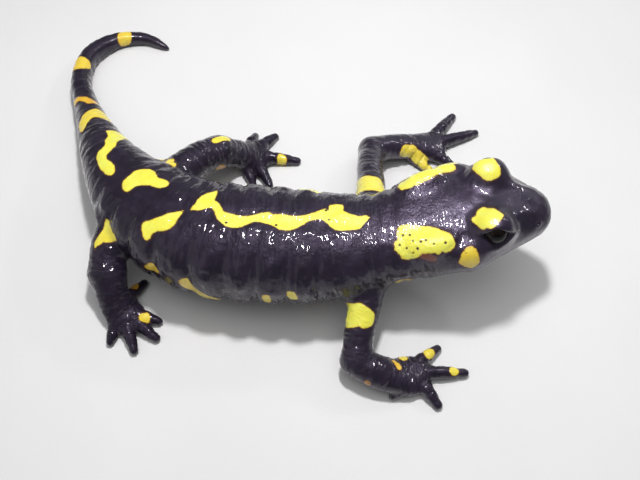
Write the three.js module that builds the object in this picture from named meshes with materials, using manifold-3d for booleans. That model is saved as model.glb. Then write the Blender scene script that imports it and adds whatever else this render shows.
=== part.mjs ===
// Fire salamander, adult, life size, in a still walking stance.
// Millimetres, +Z up. The floor is z = 0, the head points along +X and the
// animal's left side is +Y. The trunk is a lofted body along a bent spine,
// parted by thin cuts into the lengths a person would name; each limb is a
// chain of tapered lengths ending in a flat palm with blunt round digits.
import * as THREE from "three";
import { mergeVertices } from "three/addons/utils/BufferGeometryUtils.js";
import Module from "manifold-3d";

const wasm = await Module();
wasm.setup();

// ---------------------------------------------------------------- sizes (mm)
const ORIGIN = [-7.570, 16.081];     // where the bounding box's bottom centre lies
const GAP = 0.3;              // clearance kept between neighbouring pieces
const SIDES = 18;             // facets round the body
const RUNS = [[0.1, 5, 5], [5, 31, 11], [31, 100, 14], [100, 157, 13], [157, 162.8, 3]]; // from, to, sections
const LIMB_SIDES = 10;
const DIGIT_SIDES = 6;

// the spine: x, y, z of the middle of the body at each landmark
const SPINE = [
  [46.4, 0.5, 19.6],   // snout
  [44.1, 0.45, 20.2],  // nostrils
  [34.5, 0.35, 20.3],  // eyes
  [24.4, -0.7, 18.9],  // back of the head
  [16.2, -2.6, 16.9],  // neck
  [10.3, -3.2, 15.0],  // shoulders
  [4.1, -3.6, 13.8],
  [-4.2, -3.2, 13.0],
  [-12.6, -2.4, 12.6],
  [-20.9, -1.3, 12.2],
  [-27.5, 0.8, 11.8],
  [-33.9, 5.0, 11.2],
  [-39.7, 10.2, 10.4], // hips
  [-46.8, 20.2, 8.6],  // root of the tail
  [-51.4, 29.2, 6.6],
  [-54.6, 36.5, 5.0],
  [-57.2, 43.0, 3.7],
  [-59.2, 50.6, 2.7],  // tail on the floor from here on
  [-58.0, 58.4, 2.2],
  [-52.4, 63.7, 1.75],
  [-45.2, 64.9, 1.3],
  [-38.6, 62.0, 0.7],  // tip of the tail
];

// sections: distance from the snout, half width, height above and below the spine
const SECTIONS = [
  [0.0, 0.05, 0.05, 0.05], [0.5, 2.7, 2.0, 1.9], [1.5, 4.1, 3.1, 2.8],
  [3.5, 5.6, 4.2, 3.8], [6.5, 7.4, 5.0, 4.7], [10, 9.2, 5.4, 5.4],
  [14, 10.8, 5.6, 5.9], [18, 11.5, 5.8, 6.3], [22, 11.5, 6.0, 6.8],
  [26, 10.9, 6.3, 7.1], [30, 9.9, 6.7, 7.2], [34, 9.9, 7.3, 7.6],
  [40, 11.1, 8.5, 8.6], [48, 12.0, 9.5, 9.4], [58, 12.4, 9.9, 9.8],
  [68, 12.3, 9.7, 9.6], [76, 11.7, 9.3, 9.2], [84, 10.4, 8.6, 8.6],
  [92, 9.0, 7.7, 7.9], [99, 7.2, 6.9, 7.2], [106, 5.6, 5.9, 6.1],
  [114, 4.1, 4.8, 4.8], [121, 3.1, 3.9, 3.9], [128, 2.6, 3.3, 3.3],
  [136, 2.35, 2.9, 2.9], [144, 2.2, 2.5, 2.4], [152, 1.7, 1.9, 1.9],
  [158, 1.25, 1.4, 1.4], [161.5, 0.75, 0.8, 0.8], [163, 0.05, 0.05, 0.05],
];
const ROUNDNESS = 2.25;       // 2 is an ellipse; higher is squarer

// where the body is parted, as distances from the snout
const CUTS = { head: 30, neck: 36.5, trunk: 66, pelvis: 99, tail_1: 115, tail_2: 131, tail_3: 148 };
const MOUTH = { corner: 19.5, drop: 1.7 };   // jaw corner, and mouth line under the spine

// eyes: distance from the snout, how far out, how far above the spine
const EYE = { at: 11.8, skew: 0.3, out: 6.8, up: 5.0, radius: 2.7, lid: 3.3, inset: 0.4 };
// parotoid glands behind the eyes, and the swellings at the jaw corners
const GLAND = { at: 24.2, skew: 1.2, out: 6.7, up: 3.5, length: 6.3, width: 3.1, height: 3.2, splay: 14 };
const CHEEK = { at: 17.8, out: 9.2, up: 0.9, length: 3.6, width: 2.6, height: 3.4 };

// limbs: joints from the root outward, [x, y, z, half width, half height]
const LIMBS = {
  front_right: {
    upper: [[10.5, -6.7, 12.6, 4.2, 4.0], [9.5, -13.5, 10.4, 3.5, 3.5], [8.0, -20.3, 7.2, 3.1, 3.1], [7.3, -25.1, 4.7, 3.0, 3.0]],
    lower: [[7.3, -25.1, 4.7, 3.0, 3.0], [10.5, -26.9, 4.1, 3.45, 3.1], [14.5, -27.8, 3.0, 3.7, 2.6], [18.2, -27.4, 1.9, 4.2, 2.1], [20.6, -27.0, 1.5, 3.6, 1.75]],
    digits: [[[19.7, -25.1], [24.5, -21.1]], [[21.0, -26.7], [30.0, -26.5]], [[20.5, -28.4], [23.9, -33.4]], [[18.8, -29.5], [14.9, -31.5]]],
  },
  front_left: {
    upper: [[10.9, 4.9, 12.6, 3.8, 3.8], [11.2, 12.3, 10.6, 3.2, 3.3], [11.4, 21.2, 7.4, 2.9, 2.9], [12.1, 27.2, 4.8, 2.9, 2.9]],
    lower: [[12.1, 27.2, 4.8, 2.9, 2.9], [16.4, 28.7, 4.0, 2.9, 2.8], [21.3, 29.7, 3.0, 3.1, 2.4], [25.7, 30.3, 1.9, 3.8, 2.1], [28.1, 30.7, 1.5, 3.4, 1.75]],
    digits: [[[20.6, 28.8], [26.1, 23.9]], [[26.7, 28.5], [31.8, 25.0]], [[28.2, 31.5], [37.5, 35.1]], [[26.9, 33.2], [32.3, 40.0]]],
  },
  hind_left: {
    upper: [[-38.5, 11.0, 10.2, 4.6, 4.3], [-31.3, 17.5, 9.9, 4.1, 3.9], [-26.9, 22.0, 9.0, 3.8, 3.7], [-23.2, 24.8, 7.4, 3.5, 3.4]],
    lower: [[-23.2, 24.8, 7.4, 3.5, 3.4], [-20.2, 26.2, 5.0, 3.3, 3.1], [-17.4, 27.0, 3.2, 3.4, 2.5], [-15.3, 27.7, 1.9, 4.0, 2.1], [-13.7, 28.0, 1.5, 3.5, 1.75]],
    digits: [[[-17.4, 25.1], [-15.6, 20.3]], [[-15.1, 26.2], [-11.7, 20.1]], [[-13.7, 27.4], [-5.4, 26.9]], [[-15.2, 29.5], [-10.8, 34.0]], [[-17.1, 30.4], [-15.6, 34.1]]],
  },
  hind_right: {
    upper: [[-40.4, 6.9, 10.2, 4.6, 4.3], [-43.6, 3.2, 9.6, 4.1, 4.0], [-45.0, -1.9, 8.6, 3.85, 3.9], [-45.2, -6.2, 6.8, 3.7, 3.6]],
    lower: [[-45.2, -6.2, 6.8, 3.7, 3.6], [-44.4, -9.4, 5.0, 3.5, 3.3], [-43.3, -11.7, 3.4, 3.6, 2.6], [-41.8, -13.2, 1.9, 4.1, 2.1], [-40.4, -14.3, 1.5, 3.6, 1.75]],
    digits: [[[-42.2, -10.4], [-38.4, -5.7]], [[-40.5, -12.7], [-34.4, -14.8]], [[-39.8, -14.7], [-34.6, -18.7]], [[-41.2, -15.6], [-39.0, -21.4]], [[-43.0, -14.7], [-44.2, -19.5]]],
  },
};
const DIGIT = { root: [1.55, 1.7], tip: [0.95, 1.0], rootZ: 1.35, tipZ: 0.75 };

// ---------------------------------------------------------------- materials
const skinLook = () => new THREE.MeshStandardMaterial({ color: 0x17131a, roughness: 0.28, metalness: 0 });
const eyeLook = () => new THREE.MeshStandardMaterial({ color: 0x060507, roughness: 0.06, metalness: 0 });

// ---------------------------------------------------------------- geometry helpers
const v3 = (a) => new THREE.Vector3(a[0], a[1], a[2]);
const UP = new THREE.Vector3(0, 0, 1);

function solid(geometry) {
  const g = geometry.clone();
  for (const name of Object.keys(g.attributes)) if (name !== "position") g.deleteAttribute(name);
  const m = mergeVertices(g, 1e-5);
  return new wasm.Manifold(new wasm.Mesh({
    numProp: 3,
    vertProperties: new Float32Array(m.attributes.position.array),
    triVerts: new Uint32Array(m.index.array),
  }));
}

function geometryOf(manifold) {
  const m = manifold.getMesh();
  const g = new THREE.BufferGeometry();
  g.setAttribute("position", new THREE.BufferAttribute(new Float32Array(m.vertProperties), 3));
  g.setIndex(new THREE.BufferAttribute(new Uint32Array(m.triVerts), 1));
  g.computeVertexNormals();
  return g;
}

const join = (list) => list.reduce((a, b) => a.add(b));
const largest = (m) => m.decompose().sort((a, b) => b.volume() - a.volume())[0];

// smooth monotone interpolation through the rows of a table, column by column
function table(rows) {
  const n = rows.length, x = rows.map((r) => r[0]), cols = rows[0].length - 1;
  const slopes = [];
  for (let c = 1; c <= cols; c++) {
    const d = [], m = new Array(n).fill(0);
    for (let i = 0; i < n - 1; i++) d.push((rows[i + 1][c] - rows[i][c]) / (x[i + 1] - x[i]));
    m[0] = d[0]; m[n - 1] = d[n - 2];
    for (let i = 1; i < n - 1; i++) {
      if (d[i - 1] * d[i] > 0) {
        const h0 = x[i] - x[i - 1], h1 = x[i + 1] - x[i];
        m[i] = (3 * (h0 + h1)) / ((2 * h1 + h0) / d[i - 1] + (h1 + 2 * h0) / d[i]);
      }
    }
    slopes.push(m);
  }
  return (q) => {
    const t0 = Math.min(Math.max(q, x[0]), x[n - 1]);
    let i = 0;
    while (i < n - 2 && t0 > x[i + 1]) i++;
    const h = x[i + 1] - x[i], t = (t0 - x[i]) / h;
    return slopes.map((m, k) => {
      const y0 = rows[i][k + 1], y1 = rows[i + 1][k + 1];
      return (2 * t ** 3 - 3 * t ** 2 + 1) * y0 + (t ** 3 - 2 * t ** 2 + t) * h * m[i]
        + (-2 * t ** 3 + 3 * t ** 2) * y1 + (t ** 3 - t ** 2) * h * m[i + 1];
    });
  };
}

// a curve measured by arc length, with the frame (forward, left, up) at each place
class Line {
  constructor(points) {
    this.curve = new THREE.CatmullRomCurve3(points.map(v3), false, "centripetal");
    this.steps = 1600;
    this.s = [0];
    this.p = [this.curve.getPoint(0)];
    for (let i = 1; i <= this.steps; i++) {
      this.p.push(this.curve.getPoint(i / this.steps));
      this.s.push(this.s[i - 1] + this.p[i].distanceTo(this.p[i - 1]));
    }
    this.length = this.s[this.steps];
  }
  at(q) {
    const s = Math.min(Math.max(q, 0), this.length);
    let lo = 0, hi = this.steps;
    while (hi - lo > 1) { const mid = (lo + hi) >> 1; if (this.s[mid] <= s) lo = mid; else hi = mid; }
    return this.p[lo].clone().lerp(this.p[hi], (s - this.s[lo]) / (this.s[hi] - this.s[lo]));
  }
  frame(q) {
    const t = this.at(q + 0.4).sub(this.at(q - 0.4)).normalize();
    const fwd = t.clone().negate();
    let left = new THREE.Vector3().crossVectors(UP, fwd);
    if (left.lengthSq() < 1e-6) left = new THREE.Vector3(0, 1, 0);
    left.normalize();
    return { p: this.at(q), fwd, left, up: new THREE.Vector3().crossVectors(fwd, left) };
  }
}

// closed loft: rings of `sides` points joined by quads, ends closed by fans
function loft(rings) {
  const sides = rings[0].length, pos = [], idx = [];
  for (const r of rings) for (const p of r) pos.push(p.x, p.y, p.z);
  const mean = (r) => r.reduce((a, p) => a.add(p), new THREE.Vector3()).multiplyScalar(1 / sides);
  for (const r of [rings[0], rings[rings.length - 1]]) { const c = mean(r); pos.push(c.x, c.y, c.z); }
  const first = rings.length * sides, last = first + 1;
  for (let k = 0; k < sides; k++) {
    const n = (k + 1) % sides;
    for (let i = 0; i < rings.length - 1; i++) {
      const a = i * sides + k, b = i * sides + n, c = (i + 1) * sides + n, d = (i + 1) * sides + k;
      idx.push(a, b, c, a, c, d);
    }
    idx.push(first, n, k);
    const e = (rings.length - 1) * sides;
    idx.push(last, e + k, e + n);
  }
  const g = new THREE.BufferGeometry();
  g.setAttribute("position", new THREE.BufferAttribute(new Float32Array(pos), 3));
  g.setIndex(idx);
  return g;
}

function outward(g) {
  const m = solid(g);
  if (m.volume() > 0) return m;
  const f = g.clone(), a = [...f.index.array];
  for (let i = 0; i < a.length; i += 3) { const t = a[i + 1]; a[i + 1] = a[i + 2]; a[i + 2] = t; }
  f.setIndex(a);
  return solid(f);
}

const power = (x, n) => Math.sign(x) * Math.abs(x) ** (2 / n);

// section in the plane of a frame: half width, height above, height below
function section(f, half, top, bottom, sides, n, grow = 0) {
  const ring = [];
  for (let k = 0; k < sides; k++) {
    const a = (2 * Math.PI * (k + 0.5)) / sides;
    const cu = power(Math.cos(a), n) * (half + grow);
    const sv = power(Math.sin(a), n);
    ring.push(f.p.clone()
      .addScaledVector(f.left, cu)
      .addScaledVector(f.up, sv > 0 ? sv * (top + grow) : sv * (bottom + grow)));
  }
  return ring;
}

// ---------------------------------------------------------------- body
const spine = new Line(SPINE);
const sizes = table(SECTIONS);
const BODY_LENGTH = SECTIONS[SECTIONS.length - 1][0];
const stretch = spine.length / BODY_LENGTH;
const along = (s) => spine.frame(s * stretch);

function bodySolid(grow = 0) {
  const rings = [];
  for (const [from, to, count] of RUNS) {
    for (let i = from === RUNS[0][0] ? 0 : 1; i <= count; i++) {
      const q = from + ((to - from) * i) / count;
      const [half, top, bottom] = sizes(q);
      rings.push(section(along(q), half, top, bottom, SIDES, ROUNDNESS, grow));
    }
  }
  return outward(loft(rings));
}

function ellipsoid(center, axes, radii, wide = 18, high = 12) {
  const g = new THREE.SphereGeometry(1, wide, high);
  g.rotateX(Math.PI / 2);
  const m = new THREE.Matrix4().makeBasis(
    axes[0].clone().multiplyScalar(radii[0]), axes[1].clone().multiplyScalar(radii[1]), axes[2].clone().multiplyScalar(radii[2]));
  m.setPosition(center);
  g.applyMatrix4(m);
  return outward(g);
}

// a box in a body frame, reaching from low to high along (forward, left, up)
function slab(f, low, high) {
  const g = new THREE.BoxGeometry(high[0] - low[0], high[1] - low[1], high[2] - low[2]);
  g.translate((low[0] + high[0]) / 2, (low[1] + high[1]) / 2, (low[2] + high[2]) / 2);
  const m = new THREE.Matrix4().makeBasis(f.fwd, f.left, f.up);
  m.setPosition(f.p);
  g.applyMatrix4(m);
  return solid(g);
}

function place(s, side, out, up) {
  const f = along(s);
  return { f, c: f.p.clone().addScaledVector(f.left, side * out).addScaledVector(f.up, up) };
}

// head frame at the eyes, used by the eyes and the mouth
const eyePlace = (side) => {
  const { f, c } = place(EYE.at - side * EYE.skew, side, EYE.out, EYE.up);
  const gaze = f.left.clone().multiplyScalar(side * 0.96)
    .addScaledVector(f.fwd, -0.04).addScaledVector(f.up, 0.26).normalize();
  return { f, c, gaze };
};

const floorTrim = (() => {
  const g = new THREE.BoxGeometry(400, 400, 60);
  g.translate(0, 0, -30);
  return solid(g);
})();

let body = bodySolid();
const bodyClear = bodySolid(GAP);

for (const side of [-1, 1]) {
  const { f, c, gaze } = eyePlace(side);
  const lid = c.clone().addScaledVector(gaze, -EYE.inset);
  body = body.add(ellipsoid(lid, [f.fwd, f.left, f.up], [EYE.lid * 1.12, EYE.lid * 1.04, EYE.lid], 14, 8));
  const g = place(GLAND.at - side * GLAND.skew, side, GLAND.out, GLAND.up);
  const turn = (side * GLAND.splay * Math.PI) / 180;
  const long = g.f.fwd.clone().applyAxisAngle(g.f.up, turn), wide = g.f.left.clone().applyAxisAngle(g.f.up, turn);
  body = body.add(ellipsoid(g.c, [long, wide, g.f.up], [GLAND.length, GLAND.width, GLAND.height], 12, 8));
  const k = place(CHEEK.at, side, CHEEK.out, CHEEK.up);
  body = body.add(ellipsoid(k.c, [k.f.fwd, k.f.left, k.f.up], [CHEEK.length, CHEEK.width, CHEEK.height], 8, 6));
}
for (const side of [-1, 1]) {
  const { f, c } = eyePlace(side);
  const r = EYE.radius + GAP;
  body = body.subtract(ellipsoid(c, [f.fwd, f.left, f.up], [r, r, r], 12, 8));
}
body = body.subtract(floorTrim);

// thin cuts across the body, each in the local frame of its place
const pieces = {};
let rest = body;
const order = Object.keys(CUTS);
for (const name of order) {
  const f = along(CUTS[name]);
  const wide = 30;
  rest = rest.subtract(slab(f, [-GAP / 2, -wide, -wide], [GAP / 2, wide, wide]));
}
// the mouth: a level cut back to the jaw corner and a short cut down behind it
{
  const f = along(MOUTH.corner * 0.55);
  const front = MOUTH.corner * 0.45;
  rest = rest.subtract(slab(f, [-front, -20, -MOUTH.drop - GAP], [30, 20, -MOUTH.drop]));
  rest = rest.subtract(slab(f, [-front - GAP, -20, -30], [-front, 20, -MOUTH.drop]));
}
const names = ["head", "neck", "trunk_front", "trunk_rear", "tail_1", "tail_2", "tail_3", "tail_4"];
const lengths = [0, ...order.map((k) => CUTS[k]), BODY_LENGTH];
for (const bit of rest.decompose()) {
  if (bit.volume() < 0.5) continue;
  const b = bit.boundingBox();
  const mid = new THREE.Vector3((b.min[0] + b.max[0]) / 2, (b.min[1] + b.max[1]) / 2, (b.min[2] + b.max[2]) / 2);
  let best = 0, dist = Infinity;
  for (let s = 0; s <= BODY_LENGTH; s += 0.5) {
    const d = along(s).p.distanceTo(mid);
    if (d < dist) { dist = d; best = s; }
  }
  let k = 0;
  while (k < names.length - 1 && best > lengths[k + 1]) k++;
  let name = names[k];
  if (name === "head" && mid.z < along(MOUTH.corner * 0.55).p.z - 3) name = "lower_jaw";
  pieces[name] = pieces[name] ? join([pieces[name], bit]) : bit;
}
for (const side of [-1, 1]) {
  const { f, c } = eyePlace(side);
  pieces[side > 0 ? "eye_left" : "eye_right"] =
    ellipsoid(c, [f.fwd, f.left, f.up], [EYE.radius, EYE.radius, EYE.radius], 14, 10);
}

// ---------------------------------------------------------------- limbs
// a tapered length through joints [x, y, z, half width, half height], round at both ends
function taper(joints, sides, perSpan = 2, n = 2.1, ends = [[60], [70, 36]]) {
  const line = new Line(joints.map((j) => j.slice(0, 3)));
  const at = [0];
  for (let i = 1; i < joints.length; i++) {
    // arc length at each joint
    const k = Math.round((i / (joints.length - 1)) * line.steps);
    at.push(line.s[k]);
  }
  const size = table(joints.map((j, i) => [at[i], j[3], j[4]]));
  const L = line.length, rings = [];
  const cap = (q, dir, angles) => {
    const f = line.frame(q), [a, b] = size(q);
    const out = [];
    for (const w of angles) {
      const c = Math.cos((w * Math.PI) / 180), s = Math.sin((w * Math.PI) / 180);
      const g = { ...f, p: f.p.clone().addScaledVector(f.fwd, -dir * s * Math.min(a, b)) };
      out.push(section(g, a * c, b * c, b * c, sides, n));
    }
    return out;
  };
  rings.push(...cap(0, -1, ends[0]));
  const count = perSpan * (joints.length - 1);
  for (let i = 0; i <= count; i++) {
    const q = (L * i) / count, [a, b] = size(q);
    rings.push(section(line.frame(q), a, b, b, sides, n));
  }
  rings.push(...cap(L, 1, ends[1]).reverse());
  return outward(loft(rings));
}

function digit([root, tip]) {
  return taper([
    [root[0], root[1], DIGIT.rootZ, DIGIT.root[0], DIGIT.root[1]],
    [tip[0], tip[1], DIGIT.tipZ, DIGIT.tip[0], DIGIT.tip[1]],
  ], DIGIT_SIDES, 1, 2, [[55], [70, 34]]);
}

// the plane across a limb at a joint, as a thin slab
function across(a, b, at, wide) {
  const fwd = v3(b).sub(v3(a)).normalize();
  let left = new THREE.Vector3().crossVectors(UP, fwd);
  if (left.lengthSq() < 1e-6) left = new THREE.Vector3(0, 1, 0);
  left.normalize();
  const f = { p: v3(at), fwd, left, up: new THREE.Vector3().crossVectors(fwd, left) };
  return slab(f, [-GAP / 2, -wide, -wide], [GAP / 2, wide, wide]);
}

for (const [name, limb] of Object.entries(LIMBS)) {
  const fore = name.startsWith("front"), side = name.split("_")[1];
  let m = join([taper(limb.upper, LIMB_SIDES), taper(limb.lower, LIMB_SIDES), ...limb.digits.map(digit)]);
  m = m.subtract(floorTrim).subtract(bodyClear);
  m = largest(m);
  // parted at the elbow or knee, on the line between its two neighbours, and at the wrist or ankle
  const up = limb.upper, lo = limb.lower;
  const wrist = lo[2].map((v, i) => v + (lo[1][i] - v) * 0.45);
  m = m.subtract(across(up[2], lo[1], up[3], 6));
  m = m.subtract(across(lo[1], lo[2], wrist, 6));
  const bits = m.decompose().filter((b) => b.volume() > 0.5);
  const near = (b, p) => {
    const q = b.boundingBox();
    return new THREE.Vector3((q.min[0] + q.max[0]) / 2, (q.min[1] + q.max[1]) / 2, (q.min[2] + q.max[2]) / 2).distanceTo(v3(p));
  };
  const label = fore ? ["upper_arm", "forearm", "hand"] : ["thigh", "shank", "foot"];
  const spots = [up[1], lo[1], lo[3]];
  for (const b of bits) {
    let k = 0;
    for (let i = 1; i < 3; i++) if (near(b, spots[i]) < near(b, spots[k])) k = i;
    const key = `${label[k]}_${side}`;
    pieces[key] = pieces[key] ? join([pieces[key], b]) : b;
  }
}

// ---------------------------------------------------------------- the model
const salamander = new THREE.Group();
salamander.position.set(-ORIGIN[0], -ORIGIN[1], 0);
for (const [name, manifold] of Object.entries(pieces)) {
  const mesh = new THREE.Mesh(geometryOf(manifold), name.startsWith("eye") ? eyeLook() : skinLook());
  mesh.name = name;
  salamander.add(mesh);
}

export default salamander;
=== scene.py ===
import math

import bmesh
import bpy
import numpy as np
from mathutils import Matrix, Vector


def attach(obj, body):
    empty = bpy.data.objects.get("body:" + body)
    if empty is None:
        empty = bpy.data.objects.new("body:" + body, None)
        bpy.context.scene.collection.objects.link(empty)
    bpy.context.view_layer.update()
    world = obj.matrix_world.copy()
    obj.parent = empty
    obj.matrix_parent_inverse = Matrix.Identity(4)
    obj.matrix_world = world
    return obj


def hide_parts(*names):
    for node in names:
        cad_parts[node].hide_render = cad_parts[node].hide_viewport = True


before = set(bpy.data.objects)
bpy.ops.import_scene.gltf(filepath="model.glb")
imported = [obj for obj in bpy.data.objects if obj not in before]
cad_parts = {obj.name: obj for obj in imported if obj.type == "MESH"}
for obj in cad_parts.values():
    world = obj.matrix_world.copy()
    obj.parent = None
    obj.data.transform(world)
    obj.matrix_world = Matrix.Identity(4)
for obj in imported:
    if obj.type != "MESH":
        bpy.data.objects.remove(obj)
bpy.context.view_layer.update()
MM = 0.001

# ------------------------------------------------------------------ sizes (mm), as in the solids
ORIGIN = np.array([-7.570, 16.081, 0.0])
SPINE = [
    [46.4, 0.5, 19.6], [44.1, 0.45, 20.2], [34.5, 0.35, 20.3], [24.4, -0.7, 18.9], [16.2, -2.6, 16.9],
    [10.3, -3.2, 15.0], [4.1, -3.6, 13.8], [-4.2, -3.2, 13.0], [-12.6, -2.4, 12.6], [-20.9, -1.3, 12.2],
    [-27.5, 0.8, 11.8], [-33.9, 5.0, 11.2], [-39.7, 10.2, 10.4], [-46.8, 20.2, 8.6], [-51.4, 29.2, 6.6],
    [-54.6, 36.5, 5.0], [-57.2, 43.0, 3.7], [-59.2, 50.6, 2.7], [-58.0, 58.4, 2.2], [-52.4, 63.7, 1.75],
    [-45.2, 64.9, 1.3], [-38.6, 62.0, 0.7],
]
SECTIONS = np.array([
    [0.0, 0.05, 0.05, 0.05], [0.5, 2.7, 2.0, 1.9], [1.5, 4.1, 3.1, 2.8], [3.5, 5.6, 4.2, 3.8],
    [6.5, 7.4, 5.0, 4.7], [10, 9.2, 5.4, 5.4], [14, 10.8, 5.6, 5.9], [18, 11.5, 5.8, 6.3],
    [22, 11.5, 6.0, 6.8], [26, 10.9, 6.3, 7.1], [30, 9.9, 6.7, 7.2], [34, 9.9, 7.3, 7.6],
    [40, 11.1, 8.5, 8.6], [48, 12.0, 9.5, 9.4], [58, 12.4, 9.9, 9.8], [68, 12.3, 9.7, 9.6],
    [76, 11.7, 9.3, 9.2], [84, 10.4, 8.6, 8.6], [92, 9.0, 7.7, 7.9], [99, 7.2, 6.9, 7.2],
    [106, 5.6, 5.9, 6.1], [114, 4.1, 4.8, 4.8], [121, 3.1, 3.9, 3.9], [128, 2.6, 3.3, 3.3],
    [136, 2.35, 2.9, 2.9], [144, 2.2, 2.5, 2.4], [152, 1.7, 1.9, 1.9], [158, 1.25, 1.4, 1.4],
    [161.5, 0.75, 0.8, 0.8], [163, 0.05, 0.05, 0.05],
])
EYE = dict(at=11.8, skew=0.3, out=6.8, up=5.0, radius=2.7, lid=3.3, inset=0.4)
GLAND = dict(at=24.2, skew=1.2, out=6.7, up=3.5, size=(6.3, 3.1, 3.2), splay=14)
CHEEK = dict(at=17.8, out=9.2, up=0.9, size=(3.6, 2.6, 3.4))
LIMBS = {
    "front_right": dict(
        upper=[[10.5, -6.7, 12.6, 4.2, 4.0], [9.5, -13.5, 10.4, 3.5, 3.5], [8.0, -20.3, 7.2, 3.1, 3.1], [7.3, -25.1, 4.7, 3.0, 3.0]],
        lower=[[7.3, -25.1, 4.7, 3.0, 3.0], [10.5, -26.9, 4.1, 3.45, 3.1], [14.5, -27.8, 3.0, 3.7, 2.6], [18.2, -27.4, 1.9, 4.2, 2.1], [20.6, -27.0, 1.5, 3.6, 1.75]],
        digits=[[[19.7, -25.1], [24.5, -21.1]], [[21.0, -26.7], [30.0, -26.5]], [[20.5, -28.4], [23.9, -33.4]], [[18.8, -29.5], [14.9, -31.5]]]),
    "front_left": dict(
        upper=[[10.9, 4.9, 12.6, 3.8, 3.8], [11.2, 12.3, 10.6, 3.2, 3.3], [11.4, 21.2, 7.4, 2.9, 2.9], [12.1, 27.2, 4.8, 2.9, 2.9]],
        lower=[[12.1, 27.2, 4.8, 2.9, 2.9], [16.4, 28.7, 4.0, 2.9, 2.8], [21.3, 29.7, 3.0, 3.1, 2.4], [25.7, 30.3, 1.9, 3.8, 2.1], [28.1, 30.7, 1.5, 3.4, 1.75]],
        digits=[[[20.6, 28.8], [26.1, 23.9]], [[26.7, 28.5], [31.8, 25.0]], [[28.2, 31.5], [37.5, 35.1]], [[26.9, 33.2], [32.3, 40.0]]]),
    "hind_left": dict(
        upper=[[-38.5, 11.0, 10.2, 4.6, 4.3], [-31.3, 17.5, 9.9, 4.1, 3.9], [-26.9, 22.0, 9.0, 3.8, 3.7], [-23.2, 24.8, 7.4, 3.5, 3.4]],
        lower=[[-23.2, 24.8, 7.4, 3.5, 3.4], [-20.2, 26.2, 5.0, 3.3, 3.1], [-17.4, 27.0, 3.2, 3.4, 2.5], [-15.3, 27.7, 1.9, 4.0, 2.1], [-13.7, 28.0, 1.5, 3.5, 1.75]],
        digits=[[[-17.4, 25.1], [-15.6, 20.3]], [[-15.1, 26.2], [-11.7, 20.1]], [[-13.7, 27.4], [-5.4, 26.9]], [[-15.2, 29.5], [-10.8, 34.0]], [[-17.1, 30.4], [-15.6, 34.1]]]),
    "hind_right": dict(
        upper=[[-40.4, 6.9, 10.2, 4.6, 4.3], [-43.6, 3.2, 9.6, 4.1, 4.0], [-45.0, -1.9, 8.6, 3.85, 3.9], [-45.2, -6.2, 6.8, 3.7, 3.6]],
        lower=[[-45.2, -6.2, 6.8, 3.7, 3.6], [-44.4, -9.4, 5.0, 3.5, 3.3], [-43.3, -11.7, 3.4, 3.6, 2.6], [-41.8, -13.2, 1.9, 4.1, 2.1], [-40.4, -14.3, 1.5, 3.6, 1.75]],
        digits=[[[-42.2, -10.4], [-38.4, -5.7]], [[-40.5, -12.7], [-34.4, -14.8]], [[-39.8, -14.7], [-34.6, -18.7]], [[-41.2, -15.6], [-39.0, -21.4]], [[-43.0, -14.7], [-44.2, -19.5]]]),
}
VOXEL = 0.52
RIGHT, LEFT = -1, 1


# ------------------------------------------------------------------ curves and fields
def cr_curve(pts, n=1600):
    P = np.asarray(pts, float)
    l = len(P)
    t = np.arange(n + 1) / n * (l - 1)
    i = np.minimum(t.astype(int), l - 2)
    w = (t - i)[:, None]
    Q = np.vstack([2 * P[0] - P[1], P, 2 * P[-1] - P[-2]])
    p0, p1, p2, p3 = Q[i], Q[i + 1], Q[i + 2], Q[i + 3]
    d0 = np.maximum(((p1 - p0) ** 2).sum(1) ** 0.25, 1e-4)[:, None]
    d1 = np.maximum(((p2 - p1) ** 2).sum(1) ** 0.25, 1e-4)[:, None]
    d2 = np.maximum(((p3 - p2) ** 2).sum(1) ** 0.25, 1e-4)[:, None]
    t1 = ((p1 - p0) / d0 - (p2 - p0) / (d0 + d1) + (p2 - p1) / d1) * d1
    t2 = ((p2 - p1) / d1 - (p3 - p1) / (d1 + d2) + (p3 - p2) / d2) * d1
    return p1 + t1 * w + (-3 * p1 + 3 * p2 - 2 * t1 - t2) * w**2 + (2 * p1 - 2 * p2 + t1 + t2) * w**3


def mono(x, y):
    x = np.asarray(x, float)
    y = np.asarray(y, float)
    h = np.diff(x)
    d = np.diff(y) / h
    m = np.zeros(len(x))
    m[0], m[-1] = d[0], d[-1]
    for i in range(1, len(x) - 1):
        if d[i - 1] * d[i] > 0:
            m[i] = 3 * (h[i - 1] + h[i]) / ((2 * h[i] + h[i - 1]) / d[i - 1] + (h[i] + 2 * h[i - 1]) / d[i])

    def f(q):
        q = np.clip(np.asarray(q, float), x[0], x[-1])
        i = np.clip(np.searchsorted(x, q, side="right") - 1, 0, len(x) - 2)
        t = (q - x[i]) / h[i]
        return ((2 * t**3 - 3 * t**2 + 1) * y[i] + (t**3 - 2 * t**2 + t) * h[i] * m[i]
                + (-2 * t**3 + 3 * t**2) * y[i + 1] + (t**3 - t**2) * h[i] * m[i + 1])
    return f


def unit(v):
    return v / np.maximum(np.linalg.norm(v, axis=-1, keepdims=True), 1e-12)


def smooth(x, a, b):
    t = np.clip((x - a) / (b - a), 0, 1)
    return t * t * (3 - 2 * t)


def bell(x, width):
    return np.exp(-((x / width) ** 2))


def lattice(i, j, k, seed):
    n = (i * 374761393 + j * 668265263 + k * 1442695041 + seed * 974711) & 0xFFFFFFFF
    n = ((n ^ (n >> 13)) * 1274126177) & 0xFFFFFFFF
    return ((n ^ (n >> 16)) & 0xFFFF) / 32767.5 - 1


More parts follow.
